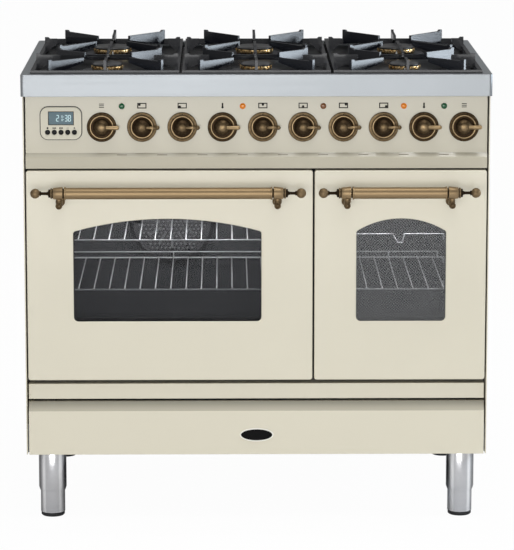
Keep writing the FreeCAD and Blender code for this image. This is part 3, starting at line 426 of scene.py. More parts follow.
# painted shade: the stop wire is a darker copy of the shelves' chrome, so the oven lamp near it does not
# light it white
shadedStopSteel = plain("stopWire", (158, 160, 164), 0.4)
print("finishes made,", len(finishes) + 4)


# Shapes: areas in square metres, lengths in mm, angles in degrees
flatLook = {"area": 25e-4, "small": 0.6e-4, "stout": 0.08, "near": 0.02, "level": 0.9998}
edgeLook = {"merge": 0.001, "flat": 0.6, "crisp": 28}
wireLook = {"sides": 8, "bead": 1.02}


def isSheet(side):
    # a strip of a round surface is long and thin for its area, a flat side is stout
    area = side.calc_area()
    longest = max(edge.calc_length() for edge in side.edges)
    return area > flatLook["area"] or area > flatLook["small"] and area > flatLook["stout"] * longest ** 2


def smoothSides(shape):
    # a flat side keeps its own normal, and so does each sliver that lies in its plane
    shape.normal_update()
    sheets = {}
    for side in shape.faces:
        if isSheet(side):
            middle = side.calc_center_median()
            key = tuple(round(part, 3) for part in (*side.normal, side.normal.dot(middle) * 10))
            sheets[key] = (side.normal.copy(), middle)
    smooth = []
    for side in shape.faces:
        middle = side.calc_center_median()
        smooth.append(not any(
            side.normal.dot(normal) > flatLook["level"]
            and abs((middle - spot).dot(normal)) < flatLook["near"] * mm
            for normal, spot in sheets.values()
        ))
    return smooth


def finishPiece(name, shape, body, finish, slotName=None, sharp=35):
    smooth = smoothSides(shape)
    mesh = bpy.data.meshes.new(name)
    shape.to_mesh(mesh)
    shape.free()
    mesh.set_sharp_from_angle(angle=math.radians(sharp))
    mesh.polygons.foreach_set("use_smooth", smooth)
    mesh.materials.append(finish.material)
    piece = bpy.data.objects.new(name, mesh)
    bpy.context.scene.collection.objects.link(piece)
    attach(piece, body)
    return piece


def bodyOf(node):
    return frame["nodes"][node]["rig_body"]


def lookName(node, ending="Look"):
    words = node.split("_")
    return words[0] + "".join(word.capitalize() for word in words[1:]) + ending


def merge(shape):
    bmesh.ops.remove_doubles(shape, verts=shape.verts, dist=edgeLook["merge"] * mm)


def ease(shape, edges, offset, segments=2):
    bmesh.ops.bevel(
        shape, geom=edges, offset=offset, offset_type="OFFSET", segments=segments, profile=0.5,
        affect="EDGES", clamp_overlap=True, material=-1,
    )


def dress(node, slotName, edge, finish):
    # the CAD node's own shape, joined up, smooth where it is round and eased at its edges
    shape = bmesh.new()
    shape.from_mesh(frame["nodes"][node].data)
    merge(shape)
    flat = math.radians(edgeLook["flat"])
    bmesh.ops.dissolve_limit(shape, angle_limit=flat, verts=shape.verts, edges=shape.edges)
    if edge:
        crisp = math.radians(edgeLook["crisp"])
        ease(shape, [e for e in shape.edges if e.is_manifold and e.calc_face_angle(0) > crisp], edge)
    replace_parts(finishPiece(lookName(node), shape, bodyOf(node), finish, slotName), node)


def lathe(shape, profile, at, axis, steps):
    # profile holds (place along the axis, radius) in mm; both ends close on the axis
    across = axis.orthogonal().normalized()
    spots = [shape.verts.new(at + axis * (along * mm) + across * (radius * mm)) for along, radius in profile]
    lines = [shape.edges.new(pair) for pair in zip(spots, spots[1:])]
    bmesh.ops.spin(
        shape, geom=spots + lines, cent=at, axis=axis, dvec=(0, 0, 0), angle=math.radians(360),
        steps=steps, use_merge=True, use_duplicate=False,
    )
    merge(shape)
    bmesh.ops.recalc_face_normals(shape, faces=shape.faces)


def arc(middle, radius, start, end, count):
    # points of a round stretch of a profile, angles in degrees from the axis
    turns = [math.radians(start + (end - start) * i / count) for i in range(count + 1)]
    return [(middle[0] + radius * math.cos(t), middle[1] + radius * math.sin(t)) for t in turns]


def box(shape, low, high):
    low, high = Vector(low), Vector(high)
    place = Matrix.Translation((low + high) / 2) @ Matrix.Diagonal((*(high - low), 1))
    bmesh.ops.create_cube(shape, size=1, matrix=place)


def rod(shape, start, end, radius, sides, tip=None):
    along = Vector(end) - Vector(start)
    turn = along.to_track_quat("Z", "Y").to_matrix().to_4x4()
    place = Matrix.Translation((Vector(start) + Vector(end)) / 2) @ turn
    bmesh.ops.create_cone(
        shape, cap_ends=True, segments=sides, radius1=radius, radius2=radius if tip is None else tip,
        depth=along.length, matrix=place,
    )


def bead(shape, spot, radius):
    bmesh.ops.create_icosphere(shape, subdivisions=1, radius=radius, matrix=Matrix.Translation(spot))


def run(shape, points, radius):
    # a bent wire: a rod for each stretch and a bead in each bend
    for start, end in zip(points, points[1:]):
        rod(shape, start, end, radius, wireLook["sides"])
    for bend in points[1:-1]:
        bead(shape, bend, radius * wireLook["bead"])


def polishAll(shape, polishAt):
    # each point gets the polish that hands have given it
    layer = shape.verts.layers.float.new("polish")
    for vert in shape.verts:
        vert[layer] = polishAt(vert.co)


# Sheet metal, castings and other CAD shapes with eased edges, in mm
easedNodes = {
    "worktop_frame": ("brushed_steel", 0.5), "hob_plate": ("black_enamel", 0.0),
    "burner_cups": ("burner_alloy", 0.0), "flame_rings": ("burner_brass", 0.3),
    "burner_caps": ("cap_enamel", 0.6), "pan_support_left": ("cast_iron", 1.5),
    "pan_support_middle": ("cast_iron", 1.5), "pan_support_right": ("cast_iron", 1.5),
    "side_panel_left": ("cream_enamel", 0.4), "side_panel_right": ("cream_enamel", 0.4),
    "control_panel": ("panel_enamel", 0.4), "lower_rail": ("cream_enamel", 0.5),
    "drawer_front": ("cream_enamel", 0.5),
    "door_left_panel": ("cream_enamel", 0.0), "door_right_panel": ("cream_enamel", 0.0),
    "door_left_liner": ("liner_enamel", 0.0), "door_right_liner": ("liner_enamel", 0.0),
    "door_seals": ("oven_seal", 1.0), "fan_rotor": ("fan_steel", 0.2),
    "heating_elements": ("element_steel", 0.0), "hinge_arms": ("hinge_steel", 0.3),
    "gas_pipes": ("pipe_steel", 0.3), "clock_bezel": ("bezel_plastic", 0.5),
    "leg_sleeves": ("leg_steel", 0.4), "leg_feet": ("leg_steel", 0.4),
}
buttons = ["clock_button_" + str(count) for count in range(1, 6)]
easedNodes.update({button: ("button_plastic", 0.6) for button in buttons})
for node, (slotName, edge) in easedNodes.items():
    dress(node, slotName, edge * mm, drawerEnamel if node == "drawer_front" else finishes[slotName])
print("eased nodes made,", len(easedNodes))

plainNodes = {
    "back_panel": "galvanised_sheet", "base_frame": "galvanised_sheet", "drawer_box": "galvanised_sheet",
    "front_frame": "dark_frame", "oven_cavity_left": "oven_enamel", "oven_cavity_right": "oven_enamel",
    "rack_supports": "chrome_wire", "fan_cover": "fan_steel", "fan_motor": "fan_steel",
    "gas_taps": "tap_alloy", "oven_switches": "switch_plastic", "clock_display": "display_glass",
    "door_left_glass": "door_glass", "door_right_glass": "door_glass",
}
ownFinish = {"door_right_glass": meshGlass, "fan_cover": coverEnamel}
for node, slotName in plainNodes.items():
    mesh = frame["nodes"][node].data
    mesh.materials.clear()
    mesh.materials.append(ownFinish.get(node, finishes[slotName]).material)

# Knobs
knobLook = {
    "flange": 28.5, "height": 17.0, "spindleDepth": 26.5, "spindle": 4.0, "ringBead": 1.7, "ringPlace": 3.4,
    "well": 2.6, "dome": 16.3, "domeFoot": 3.2, "domeFlat": 0.4, "domeCurve": 1.05, "steps": 56,
    "pegStart": 8.0, "pegPlace": 12.6, "pegReach": 34.0, "pegCollar": 21.0, "pegBall": 4.3, "pegSteps": 16,
    "indexPlace": 24.2, "indexFoot": 2.6, "indexTop": 3.1, "indexSize": 1.5,
}
kindLook = {  # radius of ring and peg, and how bright hands keep the dome, the peg and the flange's rim
    "gas": {"ring": 20.4, "peg": 3.0, "domePolish": 0.4, "pegPolish": 0.45, "rimPolish": 0.44},
    "oven": {"ring": 21.6, "peg": 4.1, "domePolish": 0.56, "pegPolish": 0.85, "rimPolish": 0.24},
}
wearLook = {"ringFade": 2.2, "crown": 15.0, "domeSide": 0.7, "rimGap": 0.4, "pegOut": 17.0, "pegProud": 6.0}


def knobProfile(ring):
    k = knobLook
    flange, dome, foot = k["flange"], k["dome"], k["domeFoot"]
    points = [(-k["spindleDepth"], 0), (-k["spindleDepth"], k["spindle"]), (0, k["spindle"])]
    # the flange has a rounded rim and falls to the bead of the ring
    points += [(0, flange - 0.6), (0.5, flange), (1.5, flange), (2.2, flange - 0.7)]
    points += [(2.4, flange - 2.4), (2.8, flange - 4.2)]
    points += arc((k["ringPlace"], ring), k["ringBead"], 80, -80, 8)
    points += [(k["well"], ring - k["ringBead"] - 0.6), (k["well"], dome + 0.7), (foot, dome)]
    rise = k["height"] - foot - k["domeFlat"]
    for i in range(1, 10):
        turn = math.radians(10 * i)
        points.append((foot + rise * math.sin(turn) ** k["domeCurve"], dome * math.cos(turn)))
    return points + [(k["height"], 0)]


def knobPeg(kind):
    # the oven knobs' peg ends round, the gas knobs' has a collar and a ball
    start, reach, r = knobLook["pegStart"], knobLook["pegReach"], kindLook[kind]["peg"]
    points = [(start, 0), (start, r)]
    if kind == "oven":
        return points + arc((reach - r, 0), r, 90, 0, 6)
    collar, ball = knobLook["pegCollar"], knobLook["pegBall"]
    meet = math.degrees(math.asin(r / ball))
    points += [(collar, r), (collar + 0.4, r + 0.7), (collar + 1.8, r + 0.7), (collar + 2.2, r)]
    return points + arc((reach - ball, 0), ball, 180 - meet, 0, 9)


def knobPolish(centre, kind):
    # bright on the ring, the rim, the crown of the dome and the peg
    k, w = kindLook[kind], wearLook

    def polishAt(spot):
        off = (spot - centre) / mm
        radius, proud = math.hypot(off.x, off.z), -off.y
        side = w["domeSide"] * k["domePolish"] * proud / knobLook["height"]
        dome = k["domePolish"] if proud > w["crown"] else side
        rim = k["rimPolish"] if radius > k["ring"] + knobLook["ringBead"] + w["rimGap"] else 0.0
        peg = k["pegPolish"] if off.x > w["pegOut"] and proud > w["pegProud"] else 0.0
        return max(0.0, 1 - abs(radius - k["ring"]) / w["ringFade"], dome, rim, peg)
    return polishAt


k = knobLook
knobNodes = [name for name in frame["nodes"] if name.startswith("knob_")]
for node in knobNodes:
    low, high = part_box(node)
    kind = "gas" if "_gas_" in node else "oven"
    centre = Vector((low.x + k["flange"] * mm, low.y + k["height"] * mm, (low.z + high.z) / 2))
    shape = bmesh.new()
    lathe(shape, knobProfile(kindLook[kind]["ring"]), centre, -back, k["steps"])
    lathe(shape, knobPeg(kind), centre - back * k["pegPlace"] * mm, right, k["pegSteps"])
    polishAll(shape, knobPolish(centre, kind))
    piece = finishPiece(lookName(node), shape, bodyOf(node), finishes["knob_bronze"], "knob_bronze", 40)
    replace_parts(piece, node)
    if kind == "gas":  # small index on the flange that meets the flame signs
        shape = bmesh.new()
        spot = centre + up * k["indexPlace"] * mm
        start, end = spot - back * k["indexFoot"] * mm, spot - back * k["indexTop"] * mm
        rod(shape, start, end, k["indexSize"] * mm, 3)
        finishPiece(lookName(node, "Index"), shape, bodyOf(node), finishes["button_plastic"])
print("knobs made,", len(knobNodes))

# Door handles
handleLook = {
    "reach": 50.0, "ballPlace": 45.0, "ball": 9.47, "arm": 5.7, "post": 6.2, "postDrop": 23.5, "foot": 9.0,
    "collar": 12.49, "barStart": 13.0, "hubSteps": 40, "armSteps": 24, "postSteps": 28, "barSteps": 48,
    "ballPolish": 0.6, "armPolish": 0.5, "hubReach": 14.0, "hubCore": 9.4, "hubFade": 1.4,
}


def hubProfile():
    h = handleLook
    c, start = h["collar"], h["barStart"]
    # collar round the bar's end, groove, and the hub's barrel
    points = [(-start, 0), (-start, c - 0.5), (-start + 0.5, c), (-10.6, c), (-9.9, c - 0.7)]
    points += [(-9.9, c - 3.4), (-7.4, c - 3.4), (-7.4, c - 0.6), (-6.8, c), (-5, c - 0.1), (4, c - 1.0)]
    points += [(10.8, c - 1.8), (11.2, c - 2.2), (11.4, c - 3.6), (13.0, c - 3.6)]
    # turned ring, step and neck
    points += [(13.2, c - 2.5), (14.2, c - 2.2), (15.6, c - 2.5), (15.9, c - 4.4), (17.2, c - 4.6)]
    points += [(17.4, 8.0), (19.2, 8.0), (19.8, 7.2), (20.2, 4.6), (21.6, 3.4)]
    points += [(24, 2.8), (33, 2.8), (34, 3.3), (34.2, 4.6), (35.4, 4.8), (36.2, 4.0)]
    return points + arc((h["ballPlace"], 0), h["ball"], 158, 0, 14)


def bracket(shape, centre):
    # a waisted arm hangs from the hub; the post behind it ends in a ringed boss and a foot on the door
    h = handleLook
    arm, post, foot, drop, reach = h["arm"], h["post"], h["foot"], h["postDrop"], h["reach"]
    waist = [(0, 0), (0, arm), (7, arm), (10, arm - 0.9)]
    waist += [(drop - 9, arm - 0.9), (drop - 5.5, arm), (drop, arm), (drop, 0)]
    lathe(shape, waist, centre, -up, h["armSteps"])
    spot = centre - up * drop * mm
    boss = [(0, 0), (0, post), (3, post), (3.4, post + 0.25), (5.6, post + 0.25), (6.2, post - 0.4)]
    boss += [(6.6, post - 1.4), (6.2, post - 2.2), (5.6, post - 2.8), (6.4, post - 3.6), (7.4, 1.6), (7.6, 0)]
    lathe(shape, boss, spot, -back, h["postSteps"])
    skirt = [(0, 0), (0, post), (5, post), (6, post - 0.8), (reach - 9, post - 0.8), (reach - 7.4, post)]
    skirt += [(reach - 6.6, post + 1), (reach - 5.2, post + 1), (reach - 4.6, post), (reach - 4, foot - 0.6)]
    skirt += [(reach - 3.4, foot), (reach, foot), (reach, 0)]
    lathe(shape, skirt, spot, back, h["postSteps"])


def handlePiece(node, shape, door, polishAt):
    bmesh.ops.recalc_face_normals(shape, faces=shape.faces)
    polishAll(shape, polishAt)
    name = lookName(node)
    piece = finishPiece(name, shape, "door_" + door, finishes["antique_brass"], "antique_brass", 40)
    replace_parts(piece, node)


def fittingPolish(low, high, depth, height):
    # hubs and balls are rubbed bright, the hub's grooves stay dark
    h = handleLook

    def polishAt(spot):
        away = math.hypot(spot.y - depth, spot.z - height) / mm
        outward = min(spot.x - low.x, high.x - spot.x) / mm
        onHub = min(1.0, max(0.0, (away - h["hubCore"]) / h["hubFade"]))
        if outward < 2 * h["ball"]:
            return h["ballPolish"]
        return onHub if away < h["hubReach"] else h["armPolish"]
    return polishAt


for door in ("left", "right"):
    fittings = "door_" + door + "_handle_fittings"
    bar = "door_" + door + "_handle_bar"
    low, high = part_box(fittings)
    barLow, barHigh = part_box(bar)
    height = (barLow.z + barHigh.z) / 2
    depth = (barLow.y + barHigh.y) / 2
    reach = (handleLook["ballPlace"] + handleLook["ball"]) * mm
    shape = bmesh.new()
    for end, side in ((low.x + reach, -1), (high.x - reach, 1)):
        centre = Vector((end, depth, height))
        lathe(shape, hubProfile(), centre, right * side, handleLook["hubSteps"])
        bracket(shape, centre)
    handlePiece(fittings, shape, door, fittingPolish(low, high, depth, height))
    shape = bmesh.new()
    start, end = (barLow.x, depth, height), (barHigh.x, depth, height)
    rod(shape, start, end, (barHigh.z - barLow.z) / 2, handleLook["barSteps"])
    handlePiece(bar, shape, door, lambda spot: 1.0)
print("handles made")

# Oven shelves of round wire, each with its raised fence at the back
shelfLook = {
    "wire": 1.3, "frameWire": 1.6, "weld": 2.4, "pitch": 30.0, "wall": 2.0, "supportWidth": 4.5,
    "level": 49.0, "levels": {"left": (0, 2), "right": (0,)}, "fence": 15.0, "fenceInset": 14.0,
    "overlap": 0.4, "wireLift": 0.6, "weldLift": 0.7,
}
ovens = {"left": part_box("oven_cavity_left"), "right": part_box("oven_cavity_right")}
shelfLow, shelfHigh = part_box("oven_racks")


def shelf(shape, left, rightEnd, height):
    s = shelfLook
    r, edge, pitch = s["wire"] * mm, s["frameWire"] * mm, s["pitch"] * mm
    front, rear = shelfLow.y + edge, shelfHigh.y - edge
    z = height + edge
    corners = [Vector((left + edge, front, z)), Vector((rightEnd - edge, front, z))]
    corners += [Vector((rightEnd - edge, rear, z)), Vector((left + edge, rear, z))]
    run(shape, corners + corners[:2], edge)
    count = int((rightEnd - left) / pitch)
    start = (left + rightEnd - (count - 1) * pitch) / 2
    wireZ = z + s["wireLift"] * mm
    for i in range(count):
        x = start + i * pitch
        rod(shape, (x, front - s["overlap"] * mm, wireZ), (x, rear, wireZ), r, wireLook["sides"])
        bead(shape, (x, front, z + s["weldLift"] * mm), s["weld"] * mm)
    top = height + (s["fence"] - s["wire"]) * mm
    inset = s["fenceInset"] * mm
    fence = [corners[3] + right * inset, Vector((left + inset, rear, top))]
    fence += [Vector((rightEnd - inset, rear, top)), corners[2] - right * inset]
    run(shape, fence, r)
    middle = (left + rightEnd) / 2
    rod(shape, (middle, rear, z), (middle, rear, top), r, wireLook["sides"])


shape = bmesh.new()
wireInset = shelfLook["wall"] * mm + shelfLook["supportWidth"] * mm
for oven, levels in shelfLook["levels"].items():
    low, high = ovens[oven]
    for level in levels:
        shelf(shape, low.x + wireInset, high.x - wireInset, shelfLow.z + level * shelfLook["level"] * mm)
shelves = finishPiece("ovenShelves", shape, bodyOf("oven_racks"), finishes["chrome_wire"], "chrome_wire", 50)
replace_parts(shelves, "oven_racks")

# Stop wire with its dip, across the narrow oven between the side rails
dipLook = {"height": 548.0, "dip": 17.0, "halfWidth": 9.0, "offset": 5.0, "slope": 5.0, "behind": 30.0}
low, high = ovens["right"]
middle = (low.x + high.x) / 2 + dipLook["offset"] * mm
stopY = shelfLow.y + dipLook["behind"] * mm
z = dipLook["height"] * mm
half, slope, dip = dipLook["halfWidth"] * mm, dipLook["slope"] * mm, dipLook["dip"] * mm
points = [(low.x + wireInset, z), (middle - half - slope, z), (middle - slope, z - dip)]
points += [(middle + slope, z - dip), (middle + half, z), (high.x - wireInset, z)]
shape = bmesh.new()
run(shape, [Vector((x, stopY, height)) for x, height in points], shelfLook["wire"] * mm)
finishPiece("ovenStopWire", shape, bodyOf("oven_racks"), shadedStopSteel, sharp=50)
print("shelves made")

# Round holes of the fan cover, as bright pressed rims
fanLook = {"pitch": 9.0, "rowShare": 0.87, "reach": 70.0, "rim": 2.2, "taper": 0.8, "proud": 0.4, "sides": 8}
rimSteel = plain("rimSteel", (120, 121, 124), 0.35)
low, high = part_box("fan_cover")
fanCentre = Vector(((low.x + high.x) / 2, low.y, (low.z + high.z) / 2))
rim = fanLook["rim"] * mm
shape = bmesh.new()
rows = int(fanLook["reach"] / fanLook["pitch"])
for row in range(-rows, rows + 1):
    for column in range(-rows - 2, rows + 3):
        x = (column + 0.5 * (row % 2)) * fanLook["pitch"]
        height = row * fanLook["pitch"] * fanLook["rowShare"]
        if math.hypot(x, height) < fanLook["reach"]:
            spot = fanCentre + right * x * mm + up * height * mm
            face = spot - back * fanLook["proud"] * mm
            rod(shape, spot, face, rim, fanLook["sides"], fanLook["taper"] * rim)
finishPiece("fanCoverRims", shape, bodyOf("fan_cover"), rimSteel, "fan_steel", 50)

# Ceramic spark plugs beside the flame rings
sparkLook = {
    "front": 139.0, "rear": 166.0, "small": 29.5, "large": 37.0, "gap": 8.7, "radius": 3.1, "taper": 0.85,
    "height": 7.5, "sides": 16,
}
ceramic = plain("sparkCeramic", (236, 236, 232), 0.3, mottle=0.95)
worktopLow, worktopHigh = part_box("worktop_frame")
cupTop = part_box("flame_rings")[0].z
sparkRadius, sparkTop = sparkLook["radius"] * mm, cupTop + sparkLook["height"] * mm
frontY, rearY = worktopLow.y + sparkLook["front"] * mm, worktopHigh.y - sparkLook["rear"] * mm
shape = bmesh.new()
for side in ("left", "middle", "right"):
    low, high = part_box("pan_support_" + side)
    x = (low.x + high.x) / 2
    for burnerY, size in ((frontY, "small"), (rearY, "large")):
        y = burnerY - (sparkLook[size] + sparkLook["gap"]) * mm
        tip = sparkLook["taper"] * sparkRadius
        rod(shape, (x, y, cupTop), (x, y, sparkTop), sparkRadius, sparkLook["sides"], tip)
finishPiece("sparkPlugs", shape, bodyOf("burner_cups"), ceramic)
print("burner details made")

# Pilot lights: each lens has its own colour and glow, and stands right of one of the ten knobs
pilotLook = {
    "radius": 5.8, "proud": 2.8, "bodyDepth": 9.0, "stem": 4.8, "lip": 0.9, "dome": 4.7, "domeFoot": 1.0,
    "domeRise": 1.8, "steps": 28,
}
lenses = {
    "pilotGreenLeft": ((12, 88, 46), 0.04, 0), "pilotOrangeLeft": ((218, 124, 14), 0.12, 3),
    "pilotBrown": ((128, 80, 40), 0.0, 5), "pilotOrangeRight": ((218, 124, 14), 0.12, 7),
    "pilotGreenRight": ((12, 84, 44), 0.04, 8),
}
pilotLow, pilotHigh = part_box("pilot_lights")
panelFace = pilotLow.y + pilotLook["proud"] * mm
pilotZ = (pilotLow.z + pilotHigh.z) / 2


def knobX(node):
    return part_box(node)[0].x + knobLook["flange"] * mm


knobMiddles = sorted(knobX(node) for node in knobNodes)
knobPitch = (knobMiddles[-1] - knobMiddles[0]) / (len(knobMiddles) - 1)


def pilotProfile():
    # stem behind the panel, rim with a lip, domed lens
    p = pilotLook
    points = [(-p["bodyDepth"], 0), (-p["bodyDepth"], p["stem"]), (0, p["stem"]), (0, p["radius"])]
    points += [(p["lip"], p["radius"]), (p["lip"] + 0.3, p["radius"] - 0.5)]
    points += [(p["domeFoot"], p["radius"] - 1.0)]
    for angle in range(10, 91, 16):
        turn = math.radians(angle)
        points.append((p["domeFoot"] + p["domeRise"] * math.sin(turn), p["dome"] * math.cos(turn)))
    return points


pilots = []
for name, (shade, glow, knob) in lenses.items():
    shape = bmesh.new()
    spot = Vector((knobMiddles[knob] + knobPitch / 2, panelFace, pilotZ))
    lathe(shape, pilotProfile(), spot, -back, pilotLook["steps"])
    lens = lensGlow(name + "Lens", shade, glow)
    pilots.append(finishPiece(name, shape, bodyOf("pilot_lights"), lens, "pilot_lens", 50))
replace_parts(pilots[0], "pilot_lights")

# Signs on the control panel
signLook = {
    "proud": 0.12, "sink": 0.1, "height": 814.0, "wide": 17.7, "tall": 10.8, "line": 2.0, "dot": 5.0,
    "dotAcross": 4.6, "dotUp": 1.9, "dotThick": 0.2, "barPitch": 3.2, "barWide": 9.6, "barLine": 1.5,
    "stemWide": 3.0, "stemTall": 7.2, "stemUp": 1.6, "bulb": 2.3, "bulbDrop": 3.4, "sides": 12,
}
ink = plain("signInk", (34, 30, 25), 0.5, shine=0.2)


def mark(shape, layer, x, z, wide, tall):
    # a flat mark; layer holds the places of its front and back
    low = (x - wide * mm / 2, layer[0], z - tall * mm / 2)
    box(shape, low, (x + wide * mm / 2, layer[1], z + tall * mm / 2))


def outline(shape, layer, x, z, wide, tall, line):
    # four marks as a frame, wide and tall over all
    for side in (-1, 1):
        mark(shape, layer, x, z + side * (tall - line) / 2 * mm, wide, line)
        mark(shape, layer, x + side * (wide - line) / 2 * mm, z, line, tall - 2 * line)


s = signLook
signLayer = (panelFace - s["proud"] * mm, panelFace + s["sink"] * mm)
signZ = s["height"] * mm
sideOf = {"left": -1, "middle": 0, "right": 1}
shape = bmesh.new()
for node in knobNodes:
    x = knobX(node)
    if "_gas_" in node:  # the hob's outline with a dot at the knob's own burner
        outline(shape, signLayer, x, signZ, s["wide"], s["tall"], s["line"])
        row, side = node.split("_")[-2:]
        upward = 1 if row == "rear" else -1
        dotX, dotZ = x + sideOf[side] * s["dotAcross"] * mm, signZ + upward * s["dotUp"] * mm
        spot = Vector((dotX, signLayer[0], dotZ))
        rod(shape, spot, spot + back * s["dotThick"] * mm, s["dot"] / 2 * mm, s["sides"])
    elif node.endswith("heat"):  # a thermometer
        mark(shape, signLayer, x, signZ + s["stemUp"] * mm, s["stemWide"], s["stemTall"])
        bulbZ = signZ - s["bulbDrop"] * mm
        rod(shape, (x, signLayer[0], bulbZ), (x, signLayer[1], bulbZ), s["bulb"] * mm, s["sides"])
    else:  # three bars
        for level in (-1, 0, 1):
            mark(shape, signLayer, x, signZ + level * s["barPitch"] * mm, s["barWide"], s["barLine"])
finishPiece("panelSigns", shape, bodyOf("control_panel"), ink)

# Dark slots between the knobs on the panel's sloping step
ventLook = {"wide": 19.0, "tall": 1.6, "thick": 0.3, "front": 1.0, "setback": 8.0}
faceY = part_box("door_left_panel")[0].y
stepTop = Vector((0, faceY + ventLook["setback"] * mm, stepTopZ))
stepFoot = Vector((0, faceY + ventLook["front"] * mm, stepTopZ - foldLook["stepTall"] * mm))
slopeLine = (stepTop - stepFoot).normalized()
tilt = Matrix.Rotation(math.atan2(slopeLine.z, slopeLine.y) - math.pi / 2, 4, "X")
size = Matrix.Diagonal((ventLook["wide"] * mm, ventLook["thick"] * mm, ventLook["tall"] * mm, 1))
shape = bmesh.new()
for knobMiddle in knobMiddles[:-1]:
    spot = (stepTop + stepFoot) / 2 + right * (knobMiddle + knobPitch / 2)
    bmesh.ops.create_cube(shape, size=1, matrix=Matrix.Translation(spot) @ tilt @ size)
finishPiece("panelVents", shape, bodyOf("control_panel"), plain("ventShade", (120, 114, 98), 0.6))
print("panel details made")

# Clock: digits of seven strokes, and a small sign over each button
clockLook = {
    "time": "21:38", "digitTall": 12.4, "digitWide": 5.3, "stroke": 1.15, "gap": 1.3, "start": -6.5,
    "frame": 1.3, "proud": 0.15, "sink": 0.05, "flatTrim": 1.6, "uprightTrim": 1.2, "colonBack": 1.8,
    "colonHalf": 2.6, "colonDot": 1.2, "colonStep": 3.0,
}
strokesOf = {
    "0": "abcdef", "1": "bc", "2": "abged", "3": "abgcd", "4": "fgbc", "5": "afgcd", "6": "afgedc",
    "7": "abc", "8": "abcdefg", "9": "abcdfg",
}
displayLow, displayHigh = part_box("clock_display")
displayX = (displayLow.x + displayHigh.x) / 2
displayZ = (displayLow.z + displayHigh.z) / 2
digitLayer = (displayLow.y - clockLook["proud"] * mm, displayLow.y + clockLook["sink"] * mm)


def digit(shape, x, z, letters):
    c = clockLook
    wide, tall, line = c["digitWide"], c["digitTall"], c["stroke"]
    flats = {"a": tall / 2 - line / 2, "g": 0, "d": line / 2 - tall / 2}
    uprights = {"b": (1, 1), "c": (1, -1), "e": (-1, -1), "f": (-1, 1)}
    for letter in letters:
        if letter in flats:
            mark(shape, digitLayer, x, z + flats[letter] * mm, wide - c["flatTrim"] * line, line)
        else:
            side, end = uprights[letter]
            across, upward = side * (wide - line) / 2 * mm, end * tall / 4 * mm
            mark(shape, digitLayer, x + across, z + upward, line, tall / 2 - c["uprightTrim"] * line)


c = clockLook
shape = bmesh.new()
pen = displayX + c["start"] * mm
for letter in c["time"]:
    if letter == ":":
        for side in (-1, 1):
            dotZ = displayZ + side * c["colonHalf"] * mm
            mark(shape, digitLayer, pen - c["colonBack"] * mm, dotZ, c["colonDot"], c["colonDot"])
        pen += c["colonStep"] * mm
    else:
        digit(shape, pen, displayZ, strokesOf[letter])
        pen += (c["digitWide"] + c["gap"]) * mm
finishPiece("clockDigits", shape, bodyOf("clock_display"), lensGlow("digitGlow", (176, 214, 220), 0.2))

# Over the buttons: a dot, two rows of bars, a minus and a plus
buttonSignLook = {
    "lift": 3.6, "layer": 0.1, "dot": 1.9, "barPitch": 2.4, "barWide": 1.8, "barTall": {1: 2.4, 2: 3.0},
    "wide": 4.0, "line": 0.9,
}
b = buttonSignLook
bezelLow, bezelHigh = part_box("clock_bezel")
bezelLayer = (bezelLow.y - b["layer"] * mm, bezelLow.y + b["layer"] * mm)
shape = bmesh.new()
for i, button in enumerate(buttons):
    low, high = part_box(button)
    x, z = (low.x + high.x) / 2, high.z + b["lift"] * mm
    if i == 0:
        rod(shape, (x, bezelLayer[0], z), (x, bezelLayer[1], z), b["dot"] * mm, signLook["sides"])
    elif i in b["barTall"]:
        for side in (-1, 0, 1):
            mark(shape, bezelLayer, x + side * b["barPitch"] * mm, z, b["barWide"], b["barTall"][i])
    else:
        mark(shape, bezelLayer, x, z, b["wide"], b["line"])
        if i == len(buttons) - 1:
            mark(shape, bezelLayer, x, z, b["line"], b["wide"])
wide, tall = ((displayHigh - displayLow) / mm).xz
line = c["frame"]  # painted shade: dark edge of the display's opening, for the shade inside it
outline(shape, bezelLayer, displayX, displayZ, wide + 2 * line, tall + 2 * line, line)
finishPiece("clockSigns", shape, bodyOf("clock_bezel"), ink)

# Painted shade: a dark line round the clock's bezel where it stands on the panel
bezelShadeLook = {"thick": 0.3, "grow": 1.7, "corner": 16.2, "cornerSteps": 10}
grow = bezelShadeLook["grow"] * mm
low = (bezelLow.x - grow, panelFace - bezelShadeLook["thick"] * mm, bezelLow.z - grow)
shape = bmesh.new()
box(shape, low, (bezelHigh.x + grow, panelFace, bezelHigh.z + grow))
corners = [e for e in shape.edges if abs((e.verts[0].co - e.verts[1].co).normalized().y) > 0.9]
ease(shape, corners, bezelShadeLook["corner"] * mm, bezelShadeLook["cornerSteps"])
finishPiece("clockGasket", shape, bodyOf("clock_bezel"), finishes["switch_plastic"])
print("clock made")

# Bare oval badge plate on the drawer: a pale rim with a dark face in it
badgeLook = {
    "wide": 66.0, "tall": 27.0, "height": 170.0, "rim": 2.6, "rimStart": -0.2, "rimTop": 1.12,
    "faceStart": 0.3, "faceTop": 1.6, "ease": 0.5, "easeSteps": 3, "steps": 72,
}


